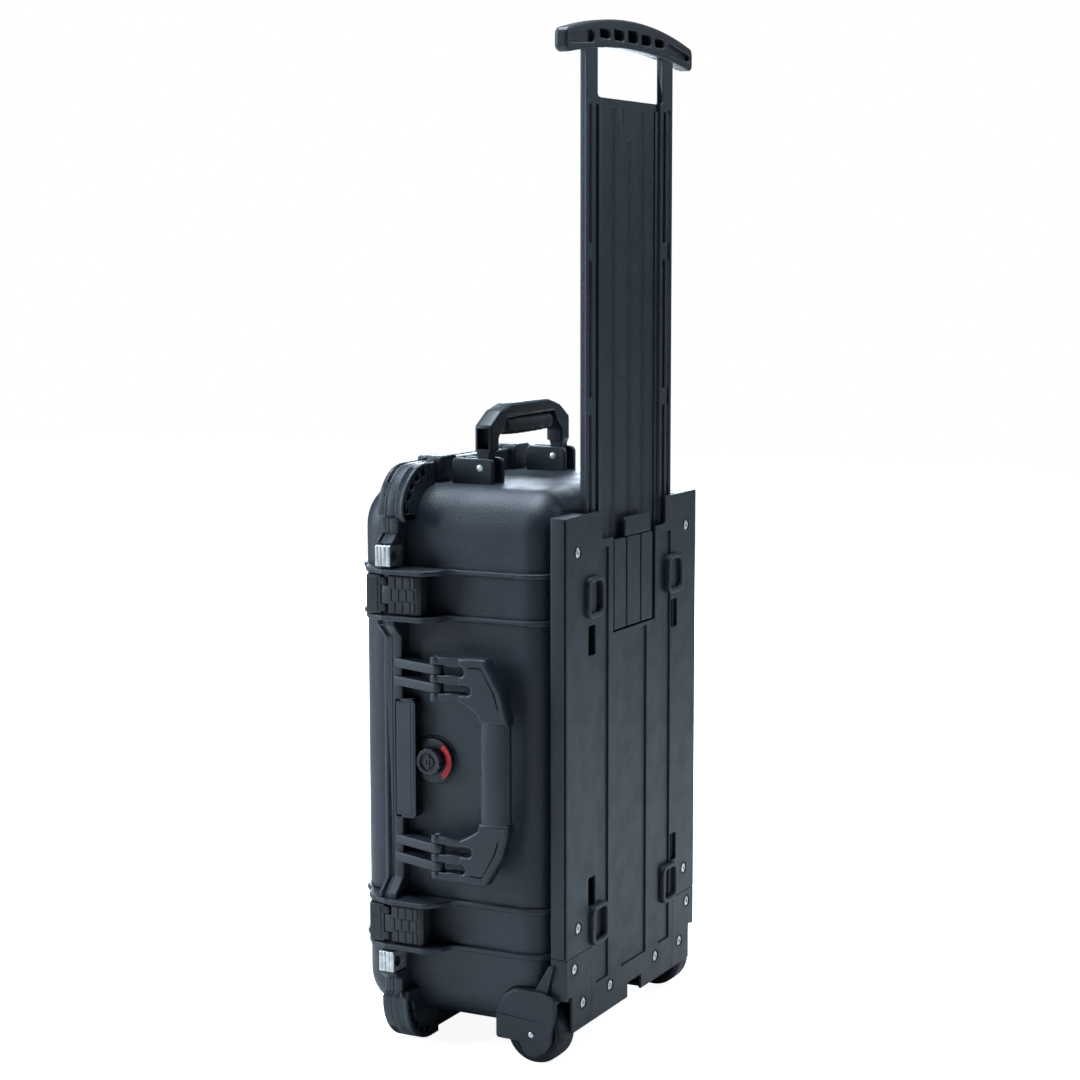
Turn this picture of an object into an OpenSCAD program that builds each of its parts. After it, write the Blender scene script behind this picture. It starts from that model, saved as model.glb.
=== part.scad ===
// Wheeled carry-on equipment case, standing upright with its pull handle extended.
// X runs from the lid towards the pull-handle panel, Y across the case, Z up.
// The origin is on the floor, under the centre of the case. All sizes are in millimetres.

/* [Case body] */
// Inside width, along Y
inside_w = 279; // [276:1:282]
// Inside height, along Z
inside_h = 501; // [498:1:504]
// Inside depth of the base
base_inside = 152.5; // [152:0.5:153]
// Inside depth of the lid
lid_inside = 41; // [38:0.5:41]
// Wall thickness of both shells
wall = 4.5; // [4:0.25:5]
// Radius of the four long corners
corner_r = 40; // [36:1:44]
// Radius where the walls meet the lid face and the base floor
edge_r = 26; // [22:1:30]

/* [Hoop ribs] */
// Thickness of a hoop rib along Z
rib_t = 5; // [4:0.5:6]
// How far a rib stands off the side wall
rib_proud = 4.5; // [3:0.5:5]
// Distance of the inner rib pair from mid height
rib_in = 135.3; // [134:0.1:137]
// Distance of the outer rib pair from mid height
rib_out = 178.7; // [178:0.1:180]

/* [Rim] */
// Thickness of each rim flange
rim_t = 10; // [9:0.5:11]
// Thickness of the rim at its four corners
rim_corner_t = 18; // [16:1:20]
// Outer corner radius of the rim
rim_r = 45; // [42:1:48]

/* [Hinge] */
// Radius of a hinge knuckle
knuckle_r = 7.5; // [7:0.5:7.5]
// Radius of a hinge pin
hinge_pin_r = 2.5; // [2:0.25:3]

/* [Latches] */
// Width of a latch along Z
latch_w = 36; // [34:1:37]
// Radius of the latch pin
latch_pin_r = 2; // [1.5:0.25:2]

/* [Carry handles] */
// Radius of both carry-handle pins
handle_pin_r = 2.5; // [2:0.25:3]
// Height of the front handle's centre
front_handle_z = 278; // [276:1:280]
// Height of the top handle's pivot
top_pivot_z = 550; // [549:0.5:550]

/* [Pull handle] */
// Half width of the pull handle over its rails
rail_y = 94.5; // [93:0.5:95]
// Half width of the hand window
window_y = 72; // [68:1:73]

/* [Wheels] */
// Wheel radius
wheel_r = 30; // [28:0.5:30]
// Wheel width
wheel_w = 26; // [22:1:26]
// Axle radius
axle_r = 4; // [3:0.5:5]

/* [Hidden] */
$fn = 64;
mid_z = 280;
part_x = -66.5;
body_w = inside_w + 2 * wall;
body_h = inside_h + 2 * wall;
base_d = base_inside + wall;
lid_d = lid_inside + wall;
back_x = part_x + base_d;
skin_x = 107.5;
face_x = 110.5;
floor_x = 108.8; // floor of the panel's sunk channels
side_x = 93.5;
loop_x = 114.5;
front_y = -body_w / 2;
reach_y = 175.5;
rim_front = 161;
rim_hinge = 158;
rim_corner_y = 166;
rim_top = 276;
rim_bottom = 280;
latch_z = (rib_in + rib_out) / 2;
hinge_y = 167.5;
hinge_z = 150;
knuckle_l = 20;
panel_w = 291;
panel_top = 514;
panel_bottom = 30.5;
notch_z = 487;
seam_z = 103;
seam_y = 92.7;
plate_x0 = 98.5;
plate_x1 = 105.5;
plate_bottom = 450;
window_z = 893;
grip_top = 965.5;
grip_under = 939.5;
grip_outer_r = 590;
grip_under_r = 800;
grip_y = 138;
wheel_x = 76.5;
wheel_y0 = 119;
wheel_y1 = wheel_y0 + wheel_w;
top_pivot_x = -9.5;
front_pivot_x = -12;
front_pivot_y = -169;
arm_in = 76;
arm_out = 93;
arm_t = 9;
seat_x = -42.5;
valve_x = -28.5;
valve_z = 279;
eye_z = 193.5;
eye_y = -168.5;
body_screws = [[122, 480.5], [121, 128], [52, 54]];
corner_screws = [[129, 91], [111, 54]];
black = [0.12, 0.13, 0.14];
soft_black = [0.07, 0.07, 0.08];
steel = [0.75, 0.75, 0.76];

// Placement helpers: a 2-D child is extruded along one axis.
module along_x(x0, x1) translate([x0, 0, 0]) rotate([90, 0, 90]) linear_extrude(x1 - x0) children();
module along_y(y0, y1) translate([0, y1, 0]) rotate([90, 0, 0]) linear_extrude(y1 - y0) children();
module along_z(z0, z1) translate([0, 0, z0]) linear_extrude(z1 - z0) children();
module block(x0, x1, y0, y1, z0, z1) translate([x0, y0, z0]) cube([x1 - x0, y1 - y0, z1 - z0]);
module rod_x(x0, x1, y, z, r) translate([x0, y, z]) rotate([0, 90, 0]) cylinder(h = x1 - x0, r = r);
module rod_y(y0, y1, x, z, r) translate([x, y1, z]) rotate([90, 0, 0]) cylinder(h = y1 - y0, r = r);
module rod_z(z0, z1, x, y, r) translate([x, y, z0]) cylinder(h = z1 - z0, r = r);
module both_y() {
    children();
    mirror([0, 1, 0]) children();
}
// Repeats the child mirrored about mid height
module both_z(z = mid_z) {
    children();
    translate([0, 0, 2 * z]) mirror([0, 0, 1]) children();
}
module at_mid() translate([0, 0, mid_z]) children();

// A rectangle with true arcs at its corners, centred
module round_rect(w, h, r) {
    square([w - 2 * r, h], center = true);
    square([w, h - 2 * r], center = true);
    for (sx = [-1, 1], sy = [-1, 1])
        translate([sx * (w / 2 - r), sy * (h / 2 - r)]) circle(r);
}

// Section of a tray: open edge at 0, far corners rounded
module edge_profile(span, depth, r) {
    translate([0, -span / 2]) square([depth - r, span]);
    translate([0, -span / 2 + r]) square([depth, span - 2 * r]);
    intersection() {
        for (s = [-1, 1]) translate([depth - r, s * (span / 2 - r)]) circle(r);
        translate([0, -span / 2]) square([depth, span]);
    }
}

// Solid tray, open face on X = 0, growing towards +X
module tray(w, h, depth, long_r, far_r) {
    along_z(-(h / 2 - long_r), h / 2 - long_r) edge_profile(w, depth, far_r);
    along_y(-(w / 2 - long_r), w / 2 - long_r) edge_profile(h, depth, far_r);
    for (a = [0, 1], b = [0, 1])
        mirror([0, a, 0]) mirror([0, 0, b])
            translate([0, w / 2 - long_r, h / 2 - long_r])
                rotate([90, 0, 90]) rotate_extrude(angle = 90) intersection() {
                    square([long_r, depth]);
                    union() {
                        square([long_r, depth - far_r]);
                        square([long_r - far_r, depth]);
                        translate([long_r - far_r, depth - far_r]) circle(far_r);
                    }
                }
}

// Outline of the rim in the Y-Z plane, about mid height
module rim_outline() {
    difference() {
        union() {
            translate([(rim_hinge - rim_front) / 2, (rim_top - rim_bottom) / 2])
                round_rect(rim_front + rim_hinge, rim_top + rim_bottom, rim_r);
            intersection() {
                translate([(rim_hinge - rim_corner_y) / 2, (rim_top - rim_bottom) / 2])
                    round_rect(rim_corner_y + rim_hinge, rim_top + rim_bottom, rim_r);
                union() {
                    translate([-200, 230]) square([200, 100]);
                    translate([-200, -330]) square([200, 100]);
                }
            }
            for (s = [-1, 1]) scale_z(s) {
                polygon([[-150, 112], [-157, 115], [-171, 128], [-171, 134], [-150, 134]]);
                polygon([[-150, 203.7], [-reach_y, 203.7], [-163, 213], [-150, 213]]);
            }
        }
        translate([-200, -115]) square([43, 230]);
        for (s = [-1, 1]) scale_z(s) {
            translate([-200, 133]) square([50, 50]);
            translate([-200, 182]) square([47, 21.7]);
        }
    }
}
module scale_z(s) mirror([0, s < 0 ? 1 : 0]) children();

// Guard plate beside a latch, in the X-Y plane
module guard_outline() {
    polygon([[-14.5, -140], [-14.5, -165], [-22.5, -reach_y], [part_x, -reach_y], [-84, -170],
        [-93, -160], [-101.5, -140]]);
}

module hoops(depth, proud) {
    for (z = [-rib_out, -rib_in, rib_in, rib_out])
        along_z(z - rib_t / 2, z + rib_t / 2)
            difference() {
                edge_profile(body_w + 2 * rib_proud, depth + proud, edge_r + proud);
                edge_profile(body_w - 2, depth - 1, edge_r - 1);
            }
}

module guards(side) {
    for (z = [-rib_out, -rib_in, rib_in, rib_out])
        along_z(mid_z + z - rib_t / 2, mid_z + z + rib_t / 2)
            intersection() {
                guard_outline();
                translate([side > 0 ? part_x : part_x - 100, -200]) square([100, 60]);
            }
}

// Knuckles of one side of the hinge; first is 0 for the base and 1 for the lid
module knuckles(first, side) {
    both_z() for (i = [first : 2 : 4]) {
        z0 = mid_z + hinge_z + (i - 2.5) * knuckle_l + 0.2;
        difference() {
            union() {
                rod_z(z0, z0 + knuckle_l - 0.4, part_x, hinge_y, knuckle_r);
                block(side > 0 ? part_x : part_x - 7, side > 0 ? part_x + 7 : part_x,
                    150, hinge_y, z0, z0 + knuckle_l - 0.4);
            }
            rod_z(z0 - 1, z0 + knuckle_l, part_x, hinge_y, hinge_pin_r + 0.05);
        }
    }
}

// Cored pockets along the rim's corner arcs
module corner_pockets() {
    for (c = [[-rim_corner_y + rim_r, rim_top - rim_r, 95],
            [rim_hinge - rim_r, rim_top - rim_r, 5],
            [-rim_corner_y + rim_r, -rim_bottom + rim_r, 185],
            [rim_hinge - rim_r, -rim_bottom + rim_r, 275]])
        for (i = [0 : 4])
            translate([0, c[0], mid_z + c[1]]) rotate([c[2] + 20 * i, 0, 0])
                translate([part_x + 11, rim_r - 12, -5]) cube([10, 7.5, 10]);
}

// Room for one wheel on each side, grown by the wall where it shapes the inside
module wheel_well(grow) both_y() block(33 - grow, 100, 109 - grow, 150, 20, 72 + grow);

module base_shell() color(black) {
    difference() {
        union() {
            translate([part_x, 0, mid_z]) tray(body_w, body_h, base_d, corner_r, edge_r);
            at_mid() along_x(part_x, part_x + rim_t) rim_outline();
            at_mid() along_x(part_x, part_x + rim_corner_t) intersection() {
                rim_outline();
                for (a = [0, 1], b = [0, 1]) mirror([a, 0]) mirror([0, b])
                    translate([108, 232]) square([70, 60]);
            }
            at_mid() translate([part_x, 0, 0]) intersection() {
                hoops(base_d, rib_proud);
                block(0, base_d, -200, 200, -300, 300);
            }
            guards(1);
            knuckles(0, 1);
            // raised rim bosses in front of the top handle
            both_y() block(part_x, part_x + 16, 60, 92, 540, 560);
            // nameplate seat
            block(part_x + 2, seat_x, -157, -140, 223, 337);
            front_handle_arms();
            top_handle_bracket();
            // flange round the relief valve
            rod_y(front_y - 1, front_y + 6, valve_x, valve_z, 23);
        }
        difference() {
            translate([part_x - 0.01, 0, mid_z])
                tray(inside_w, inside_h, base_inside, corner_r - wall, edge_r - wall);
            wheel_well(3.5);
        }
        wheel_well(0);
        corner_pockets();
        // recess for the nameplate
        block(-63.5, -44.5, -158, -155.8, 226, 334);
        both_z(front_handle_z) rod_z(300, 400, front_pivot_x, front_pivot_y, handle_pin_r + 0.05);
        both_y() rod_y(60, 92, top_pivot_x, top_pivot_z, handle_pin_r + 0.05);
        rod_y(front_y - 2, front_y + 8, valve_x, valve_z, 11.05);
        for (p = concat(body_screws, corner_screws)) both_y()
            rod_x(back_x - 3, back_x + 1, p[0], p[1], 2.05);
    }
}

module front_handle_arms() {
    both_z(front_handle_z) for (z = [arm_in, arm_out])
        along_z(front_handle_z + z - arm_t / 2, front_handle_z + z + arm_t / 2) {
            polygon([[part_x + 2, -157], [front_pivot_x, front_pivot_y - 6.2],
                [front_pivot_x, front_pivot_y + 6.2], [part_x + 2, -140]]);
            translate([front_pivot_x, front_pivot_y]) circle(6.4);
        }
}

module top_handle_bracket() {
    both_y() for (y = [63, 83]) along_y(y, y + 6) {
        translate([-39.5, 528]) square([43, 26]);
        translate([-39.5, 528]) square([38, 31]);
        translate([-1.5, 554]) circle(5);
    }
}

module hinge_pins() color(steel) both_z()
    rod_z(mid_z + hinge_z - 2.5 * knuckle_l, mid_z + hinge_z + 2.5 * knuckle_l,
        part_x, hinge_y, hinge_pin_r);

module nameplate() color(soft_black) block(-63.4, -44.6, -157.3, -155.8, 226.1, 333.9);

module padlock_eye(x0, x1) {
    both_z() difference() {
        along_x(x0, x1) polygon([[-153, mid_z + eye_z - 10], [-reach_y + 1, mid_z + eye_z - 10],
            [-reach_y, mid_z + eye_z - 9], [-reach_y, mid_z + eye_z + 10], [-153, mid_z + eye_z + 10]]);
        rod_x(x0 - 1, x1 + 1, eye_y, mid_z + eye_z, 4);
    }
}
module padlock_eyes_base() color(steel) padlock_eye(part_x, part_x + 9);
module padlock_eyes_lid() color(steel) padlock_eye(part_x - 7, part_x);

module lid_shell() color(black) {
    difference() {
        union() {
            translate([part_x, 0, mid_z]) mirror([1, 0, 0]) tray(body_w, body_h, lid_d, corner_r, edge_r);
            at_mid() along_x(part_x - rim_t, part_x) rim_outline();
            at_mid() translate([part_x, 0, 0]) mirror([1, 0, 0]) hoops(lid_d, 3);
            guards(-1);
            knuckles(1, -1);
            both_y() block(part_x - 10, part_x, 60, 92, 540, 560);
        }
        translate([part_x + 0.01, 0, mid_z]) mirror([1, 0, 0])
            tray(inside_w, inside_h, lid_inside, corner_r - wall, edge_r - wall);
        at_mid() along_x(part_x - 3.5, part_x + 1) seal_outline(4);
        both_z() rod_z(mid_z + rib_in - 3, mid_z + rib_out + 3, -82, -159, latch_pin_r + 0.05);
    }
}

module seal_outline(w) difference() {
    round_rect(inside_w + 10 + w, inside_h + 10 + w, corner_r - wall + 5 + w / 2);
    round_rect(inside_w + 10 - w, inside_h + 10 - w, corner_r - wall + 5 - w / 2);
}
module lid_seal() color(soft_black) at_mid() along_x(part_x - 3.5, part_x) seal_outline(3.9);

module latch_pins() color(steel) both_z()
    rod_z(mid_z + rib_in - 2.4, mid_z + rib_out + 2.4, -82, -159, latch_pin_r);

// Latch body: hangs on the lid's pin and carries the lever's fork
module latch_body() color(soft_black) {
    z0 = mid_z + latch_z - latch_w / 2;
    z1 = z0 + latch_w;
    difference() {
        union() {
            rod_z(z0, z1, -82, -159, 4.5);
            along_z(z0, z1) polygon([[-86, -160], [-88.5, -164], [-86, -171], [-83, -172], [-69.5, -172],
                [-69.5, -165.5], [-77, -162], [-79, -158]]);
            for (z = [z0 + 2, z1 - 9]) along_z(z, z + 7) {
                translate([-67.2, -168.6]) circle(3.2);
                translate([-72, -171.8]) square([4.8, 6.2]);
            }
        }
        rod_z(z0 - 1, z1 + 1, -82, -159, latch_pin_r + 0.08);
        rod_z(z0 - 1, z1 + 1, -67.2, -168.6, 1.3);
        along_z(z0 + 9.3, z1 - 9.3) translate([-67.2, -168.6]) circle(3.6);
    }
}

// Latch lever: the finger pad over the base, with raised blocks and a claw behind
module latch_lever() color(soft_black) {
    z0 = mid_z + latch_z - latch_w / 2;
    z1 = z0 + latch_w;
    difference() {
        union() {
            along_z(z0, z1) polygon([[-62.5, -165], [-62.5, -171], [-32, -171], [-28.5, -169],
                [-27.5, -158], [-30, -158], [-32, -165]]);
            for (i = [0 : 3], j = [0 : 2])
                block(-61 + 8 * i, -54.5 + 8 * i, -172, -170, z0 + 1.2 + 11.6 * j, z0 + 11.6 + 11.6 * j);
            along_z(z0 + 4, z1 - 4) polygon([[-55, -166], [-50, -166], [-50, -151], [-54.5, -151],
                [-54.5, -155]]);
            along_z(z0 + 9.6, z1 - 9.6) {
                translate([-67.2, -168.6]) circle(3.2);
                translate([-67.2, -171.2]) square([8, 5.4]);
            }
        }
        rod_z(z0 - 1, z1 + 1, -67.2, -168.6, 1.3);
    }
}
module latch_lever_pin() color(steel)
    rod_z(mid_z + latch_z - latch_w / 2 + 2, mid_z + latch_z + latch_w / 2 - 2, -67.2, -168.6, 1.25);
module lower() translate([0, 0, 2 * mid_z]) mirror([0, 0, 1]) children();

// Front carry handle
module front_handle_outline() {
    half = [[front_pivot_x, 105], [41, 106.5], [58, 77], [64.5, 53]];
    polygon(concat(half, [for (i = [3 : -1 : 0]) [half[i][0], -half[i][1]]]));
}
module front_handle_window() {
    half = [[front_pivot_x - 10, 63], [8, 63], [33, 53], [35, 46]];
    polygon(concat(half, [for (i = [3 : -1 : 0]) [half[i][0], -half[i][1]]]));
}
module front_handle_frame() color(black) translate([0, 0, front_handle_z]) difference() {
    union() {
        along_y(-175.5, -161) difference() {
            front_handle_outline();
            front_handle_window();
        }
        for (a = [0, 1]) mirror([0, 0, a]) rod_z(63, 105, front_pivot_x, front_pivot_y, 6.4);
    }
    for (a = [0, 1]) mirror([0, 0, a]) {
        for (z = [arm_in, arm_out]) {
            block(-30, 0, -180, -150, z - arm_t / 2 - 0.3, z + arm_t / 2 + 0.3);
            block(-1, z == arm_out ? 18 : 28, -180, -150, z - 4, z + 4);
        }
        rod_z(50, 110, front_pivot_x, front_pivot_y, handle_pin_r + 0.06);
    }
    // room for the rubber grip round the core bar
    difference() {
        block(30, 70, -180, -150, -48, 48);
        front_grip_core();
    }
}
module front_grip_core() along_z(-49, 49) translate([50, -168.2]) round_rect(19, 8, 3);
module front_handle_grip() color(soft_black) translate([0, 0, front_handle_z]) {
    difference() {
        along_z(-48, 48) {
            translate([49, -168]) round_rect(31, 15.5, 7);
            translate([38, -166]) round_rect(14, 14, 6);
        }
        front_grip_core();
        for (z = [-36 : 12 : 36]) rod_y(-180, -150, 29.5, z, 2);
    }
}
module front_handle_pins() color(steel) both_z(front_handle_z)
    rod_z(front_handle_z + 63.5, front_handle_z + 104.5, front_pivot_x, front_pivot_y, handle_pin_r);

// Top carry handle, upright
module top_handle_outline() {
    half = [[83, 538], [83, 590], [62, 603], [38, 609]];
    polygon(concat(half, [for (i = [3 : -1 : 0]) [-half[i][0], half[i][1]]]));
}
module top_handle_window() {
    half = [[69.4, 530], [66, 565], [66, 578], [54, 587]];
    polygon(concat(half, [for (i = [3 : -1 : 0]) [-half[i][0], half[i][1]]]));
}
module top_handle_frame() color(black) difference() {
    union() {
        along_x(top_pivot_x - 9, top_pivot_x + 9) difference() {
            top_handle_outline();
            top_handle_window();
            translate([-100, 530]) square([200, 35]);
        }
        both_y() along_y(69.4, 82.6) {
            translate([top_pivot_x, top_pivot_z]) circle(6.5);
            translate([top_pivot_x - 6.5, top_pivot_z]) square([13, 16]);
        }
    }
    both_y() {
        rod_y(60, 92, top_pivot_x, top_pivot_z, handle_pin_r + 0.06);
        block(top_pivot_x - 5.5, top_pivot_x + 5.5, 76, 90, 570, 586);
    }
    // room for the rubber grip under the core bar
    block(-30, 10, -48, 48, 570, 595);
}
module top_handle_grip() color(soft_black) {
    difference() {
        along_y(-48, 48) translate([top_pivot_x, 586.5]) round_rect(18, 17, 6);
        for (y = [-36 : 12 : 36]) rod_x(-30, 10, y, 577, 2);
    }
}
module top_handle_pins() color(steel) both_y() rod_y(63, 89, top_pivot_x, top_pivot_z, handle_pin_r);

// Relief valve on the front wall
module valve_gasket() color(soft_black) difference() {
    rod_y(front_y - 2, front_y - 1, valve_x, valve_z, 20);
    rod_y(front_y - 3, front_y, valve_x, valve_z, 11.05);
    beside_seat();
}
// Cuts a flat on the valve's round parts, which clears the nameplate seat
module beside_seat() block(seat_x - 20, seat_x + 0.3, front_y - 10, front_y, valve_z - 25, valve_z + 25);
module valve_body() color(black) difference() {
    union() {
        rod_y(front_y - 5, front_y - 2, valve_x, valve_z, 21);
        rod_y(front_y - 5, front_y + 13, valve_x, valve_z, 11);
    }
    rod_y(front_y - 6, front_y + 2, valve_x, valve_z, 6);
    rod_y(front_y + 4, front_y + 14, valve_x, valve_z, 8);
    beside_seat();
}
module valve_ring() color([0.75, 0.1, 0.12]) difference() {
    rod_y(front_y - 6, front_y - 5, valve_x, valve_z, 20.5);
    rod_y(front_y - 7, front_y - 4, valve_x, valve_z, 15);
    block(valve_x - 30, valve_x + 8, front_y - 8, front_y, valve_z - 30, valve_z + 30);
}
module valve_membrane() color(steel) rod_y(front_y + 4, front_y + 5.5, valve_x, valve_z, 7.95);
module valve_nut() color(black) difference() {
    translate([valve_x, front_y + 11, valve_z]) rotate([90, 0, 0]) cylinder(h = 4, r = 17, $fn = 6);
    rod_y(front_y + 6, front_y + 12, valve_x, valve_z, 11.05);
}
module valve_knob() color(soft_black) difference() {
    union() {
        rod_y(front_y - 14, front_y - 6.2, valve_x, valve_z, 13);
        rod_y(front_y - 10, front_y + 1, valve_x, valve_z, 5.95);
    }
    rod_y(front_y - 15, front_y - 12.5, valve_x, valve_z, 9.5);
    for (a = [0 : 30 : 330]) translate([valve_x, 0, valve_z]) rotate([0, a, 0])
        rod_y(front_y - 15, front_y - 8, 13.6, 0, 1.4);
}

// Pull-handle panel on the back of the base
module panel_outline() {
    difference() {
        translate([-panel_w / 2, panel_bottom]) square([panel_w, panel_top - panel_bottom]);
        translate([-71.5, notch_z]) square([143, 100]);
        translate([-47.5, 396]) square([95, 100]);
        for (s = [-1, 1]) translate([s > 0 ? seam_y - 0.15 : -200, 0]) square([107.3 + 0.15, seam_z + 0.3]);
        translate([-13, 25]) square([31, 20]);
    }
}
module loop_outline(w, h, r) for (s = [-1, 1]) {
    translate([s * 90, 436]) round_rect(w, h, r);
    translate([s * 80, 123]) round_rect(w, h, r);
}
// Sunk channels: one down the middle and one on each side
module channels() {
    translate([-28.5, 65.5]) square([56.7, 327.5]);
    for (s = [0, 1]) mirror([s, 0]) translate([57.5, 65]) square([26.4, 414.8]);
}
module trolley_panel() color(black) difference() {
    union() {
        difference() {
            along_x(skin_x, face_x) panel_outline();
            along_x(floor_x, face_x + 1) channels();
        }
        both_y() block(side_x, face_x, panel_w / 2 - 4, panel_w / 2, seam_z + 0.3, panel_top);
        both_y() block(side_x, face_x, 101, panel_w / 2, panel_top - 4, panel_top);
        both_y() block(side_x, face_x, 22, seam_y - 0.3, panel_bottom, panel_bottom + 3);
        along_x(skin_x + 0.5, loop_x) loop_outline(35, 39, 9);
        for (p = body_screws) both_y() rod_x(back_x, face_x, p[0], p[1], 7.2);
    }
    along_x(face_x - 2.2, loop_x + 1) loop_outline(25, 29, 5);
    both_y() block(skin_x - 1, face_x + 1, 85.5, 100.5, 381.5, 409.5);
    both_y() block(skin_x - 1, face_x + 1, 85.5, 100.5, 142.5, 170.5);
    for (p = body_screws) both_y() {
        rod_x(back_x - 1, face_x + 1, p[0], p[1], 2.1);
        rod_x(face_x - 4, face_x + 5, p[0], p[1], 5.6);
    }
}
// Cover over the release tongue: three raised pads on one plate
module trolley_cover() color(black) {
    block(face_x - 5, face_x - 2.1, -45.5, 45.5, 398, 483.5);
    for (pad = [[-45.5, -19.2], [-16.8, 12.8], [15.2, 41]])
        block(face_x - 2.2, face_x, pad[0], pad[1], 398, 483.5);
}
module release_tab() color(black) {
    along_x(face_x - 4.5, face_x - 0.5) {
        translate([8.5, 493.5]) round_rect(57, 18, 4);
        translate([-20, 484.3]) square([57, 6]);
    }
    // tongue behind the cover
    block(104.6, 106.2, -12, 28, 484.3, 490);
    block(104.6, 105.4, -12, 28, 440, 490);
}
// Guide channel on each side, wide enough to back the panel's slots
module guide_rails() color(soft_black) both_y() {
    block(back_x, skin_x, rail_y + 0.8, rail_y + 7, 110, 484);
    block(back_x, 97.5, rail_y - 6, rail_y + 7, 110, 484);
}

// Corner piece that carries a wheel, for +Y
module corner_housing() {
    difference() {
        union() {
            block(skin_x, face_x, seam_y + 0.15, panel_w / 2, panel_bottom, seam_z);
            block(side_x, face_x, panel_w / 2 - 4, panel_w / 2, 58, seam_z);
            for (p = corner_screws) rod_x(back_x, face_x, p[0], p[1], 7.2);
            // outer cheek
            along_y(147, 153) {
                translate([38, 20]) square([58, 40]);
                translate([58, 40]) circle(20);
                translate([38, 40]) square([30, 10]);
                translate([58, 50]) square([42, 20]);
                translate([58, 50]) circle(20);
                translate([wheel_x, wheel_r]) circle(21);
            }
            // arch over the wheel
            along_y(112, 149) difference() {
                union() {
                    translate([38, 20]) square([10, 30]);
                    translate([58, 50]) circle(20);
                    translate([58, 60]) square([42, 10]);
                }
                translate([wheel_x, wheel_r]) circle(wheel_r + 3);
                translate([42, 10]) square([70, 40]);
            }
            // inner cheek
            along_y(110, 116) {
                translate([38, 20]) square([62, 30]);
                translate([58, 50]) circle(20);
                translate([58, 50]) square([42, 20]);
            }
            // gusset under the panel's side
            along_y(145.5, 149) polygon([[75, 68], [92, 68], [98, 96], [93.5, 96]]);
        }
        rod_y(105, 160, wheel_x, wheel_r, axle_r + 0.05);
        for (p = corner_screws) {
            rod_x(back_x - 4, face_x + 1, p[0], p[1], 2.1);
            rod_x(face_x - 4, face_x + 1, p[0], p[1], 5.6);
        }
        block(80, 120, 134, 146.9, 0, 66);
        rod_y(117, 146.9, wheel_x, wheel_r, wheel_r + 2);
    }
}
module corner_housing_right() color(black) corner_housing();
module corner_housing_left() color(black) mirror([0, 1, 0]) corner_housing();
module wheel_axles() color(steel) both_y() rod_y(110.5, 153.3, wheel_x, wheel_r, axle_r);

module panel_screws() color(steel) for (p = concat(body_screws, corner_screws)) both_y() difference() {
    union() {
        rod_x(face_x - 4, face_x - 1.5, p[0], p[1], 5);
        rod_x(back_x - 2.8, face_x - 4, p[0], p[1], 2);
    }
    rod_x(face_x - 3, face_x, p[0], p[1], 1.8);
}

module hub() difference() {
    union() {
        rod_y(wheel_y0 + 1, wheel_y1 - 1, wheel_x, wheel_r, 9);
        rod_y(wheel_y0 + 11, wheel_y0 + 15, wheel_x, wheel_r, 23);
        difference() {
            rod_y(wheel_y0 + 1, wheel_y1 - 1, wheel_x, wheel_r, 23);
            rod_y(wheel_y0, wheel_y1, wheel_x, wheel_r, 20);
        }
    }
    rod_y(wheel_y0, wheel_y1, wheel_x, wheel_r, 6);
}
module tyre() difference() {
    translate([wheel_x, wheel_y0 + wheel_w / 2, wheel_r]) rotate([90, 0, 0]) rotate_extrude()
        translate([25, 0]) difference() {
            translate([-2, 0]) round_rect(14, wheel_w, 5);
            translate([-20, -20]) square([18.02, 40]);
        }
    rod_y(wheel_y0 - 1, wheel_y1 + 1, wheel_x, wheel_r, 23);
}
module bushes() for (y = [wheel_y0 + 1, wheel_y1 - 9]) difference() {
    rod_y(y, y + 8, wheel_x, wheel_r, 6);
    rod_y(y - 1, y + 9, wheel_x, wheel_r, axle_r + 0.06);
}
module wheel_hub_right() color(black) hub();
module wheel_hub_left() color(black) mirror([0, 1, 0]) hub();
module wheel_tyre_right() color(soft_black) tyre();
module wheel_tyre_left() color(soft_black) mirror([0, 1, 0]) tyre();
module wheel_bushes_right() color(steel) bushes();
module wheel_bushes_left() color(steel) mirror([0, 1, 0]) bushes();

// Grip section in the Y-Z plane: an outer and an under arc between two ends
module grip_outline(end_y) intersection() {
    translate([0, grip_top - grip_outer_r]) circle(grip_outer_r, $fn = 256);
    difference() {
        translate([-end_y, 900]) square([2 * end_y, 80]);
        translate([0, grip_under - grip_under_r]) circle(grip_under_r, $fn = 256);
    }
}
module trolley_grip() color(black) difference() {
    along_x(95, 107) grip_outline(grip_y);
    for (y = [-60 : 30 : 60]) block(99, 110, y - 10, y + 10, 946, 957 - abs(y) / 20);
    both_y() block(105, 110, 82, 130, 938, 948);
}
module trolley_grip_back() color(black) along_x(93, 94.9) grip_outline(grip_y - 3);
module grip_screws() color(steel) both_y() rod_x(91.8, 93, 83, 945, 3.5);

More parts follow.
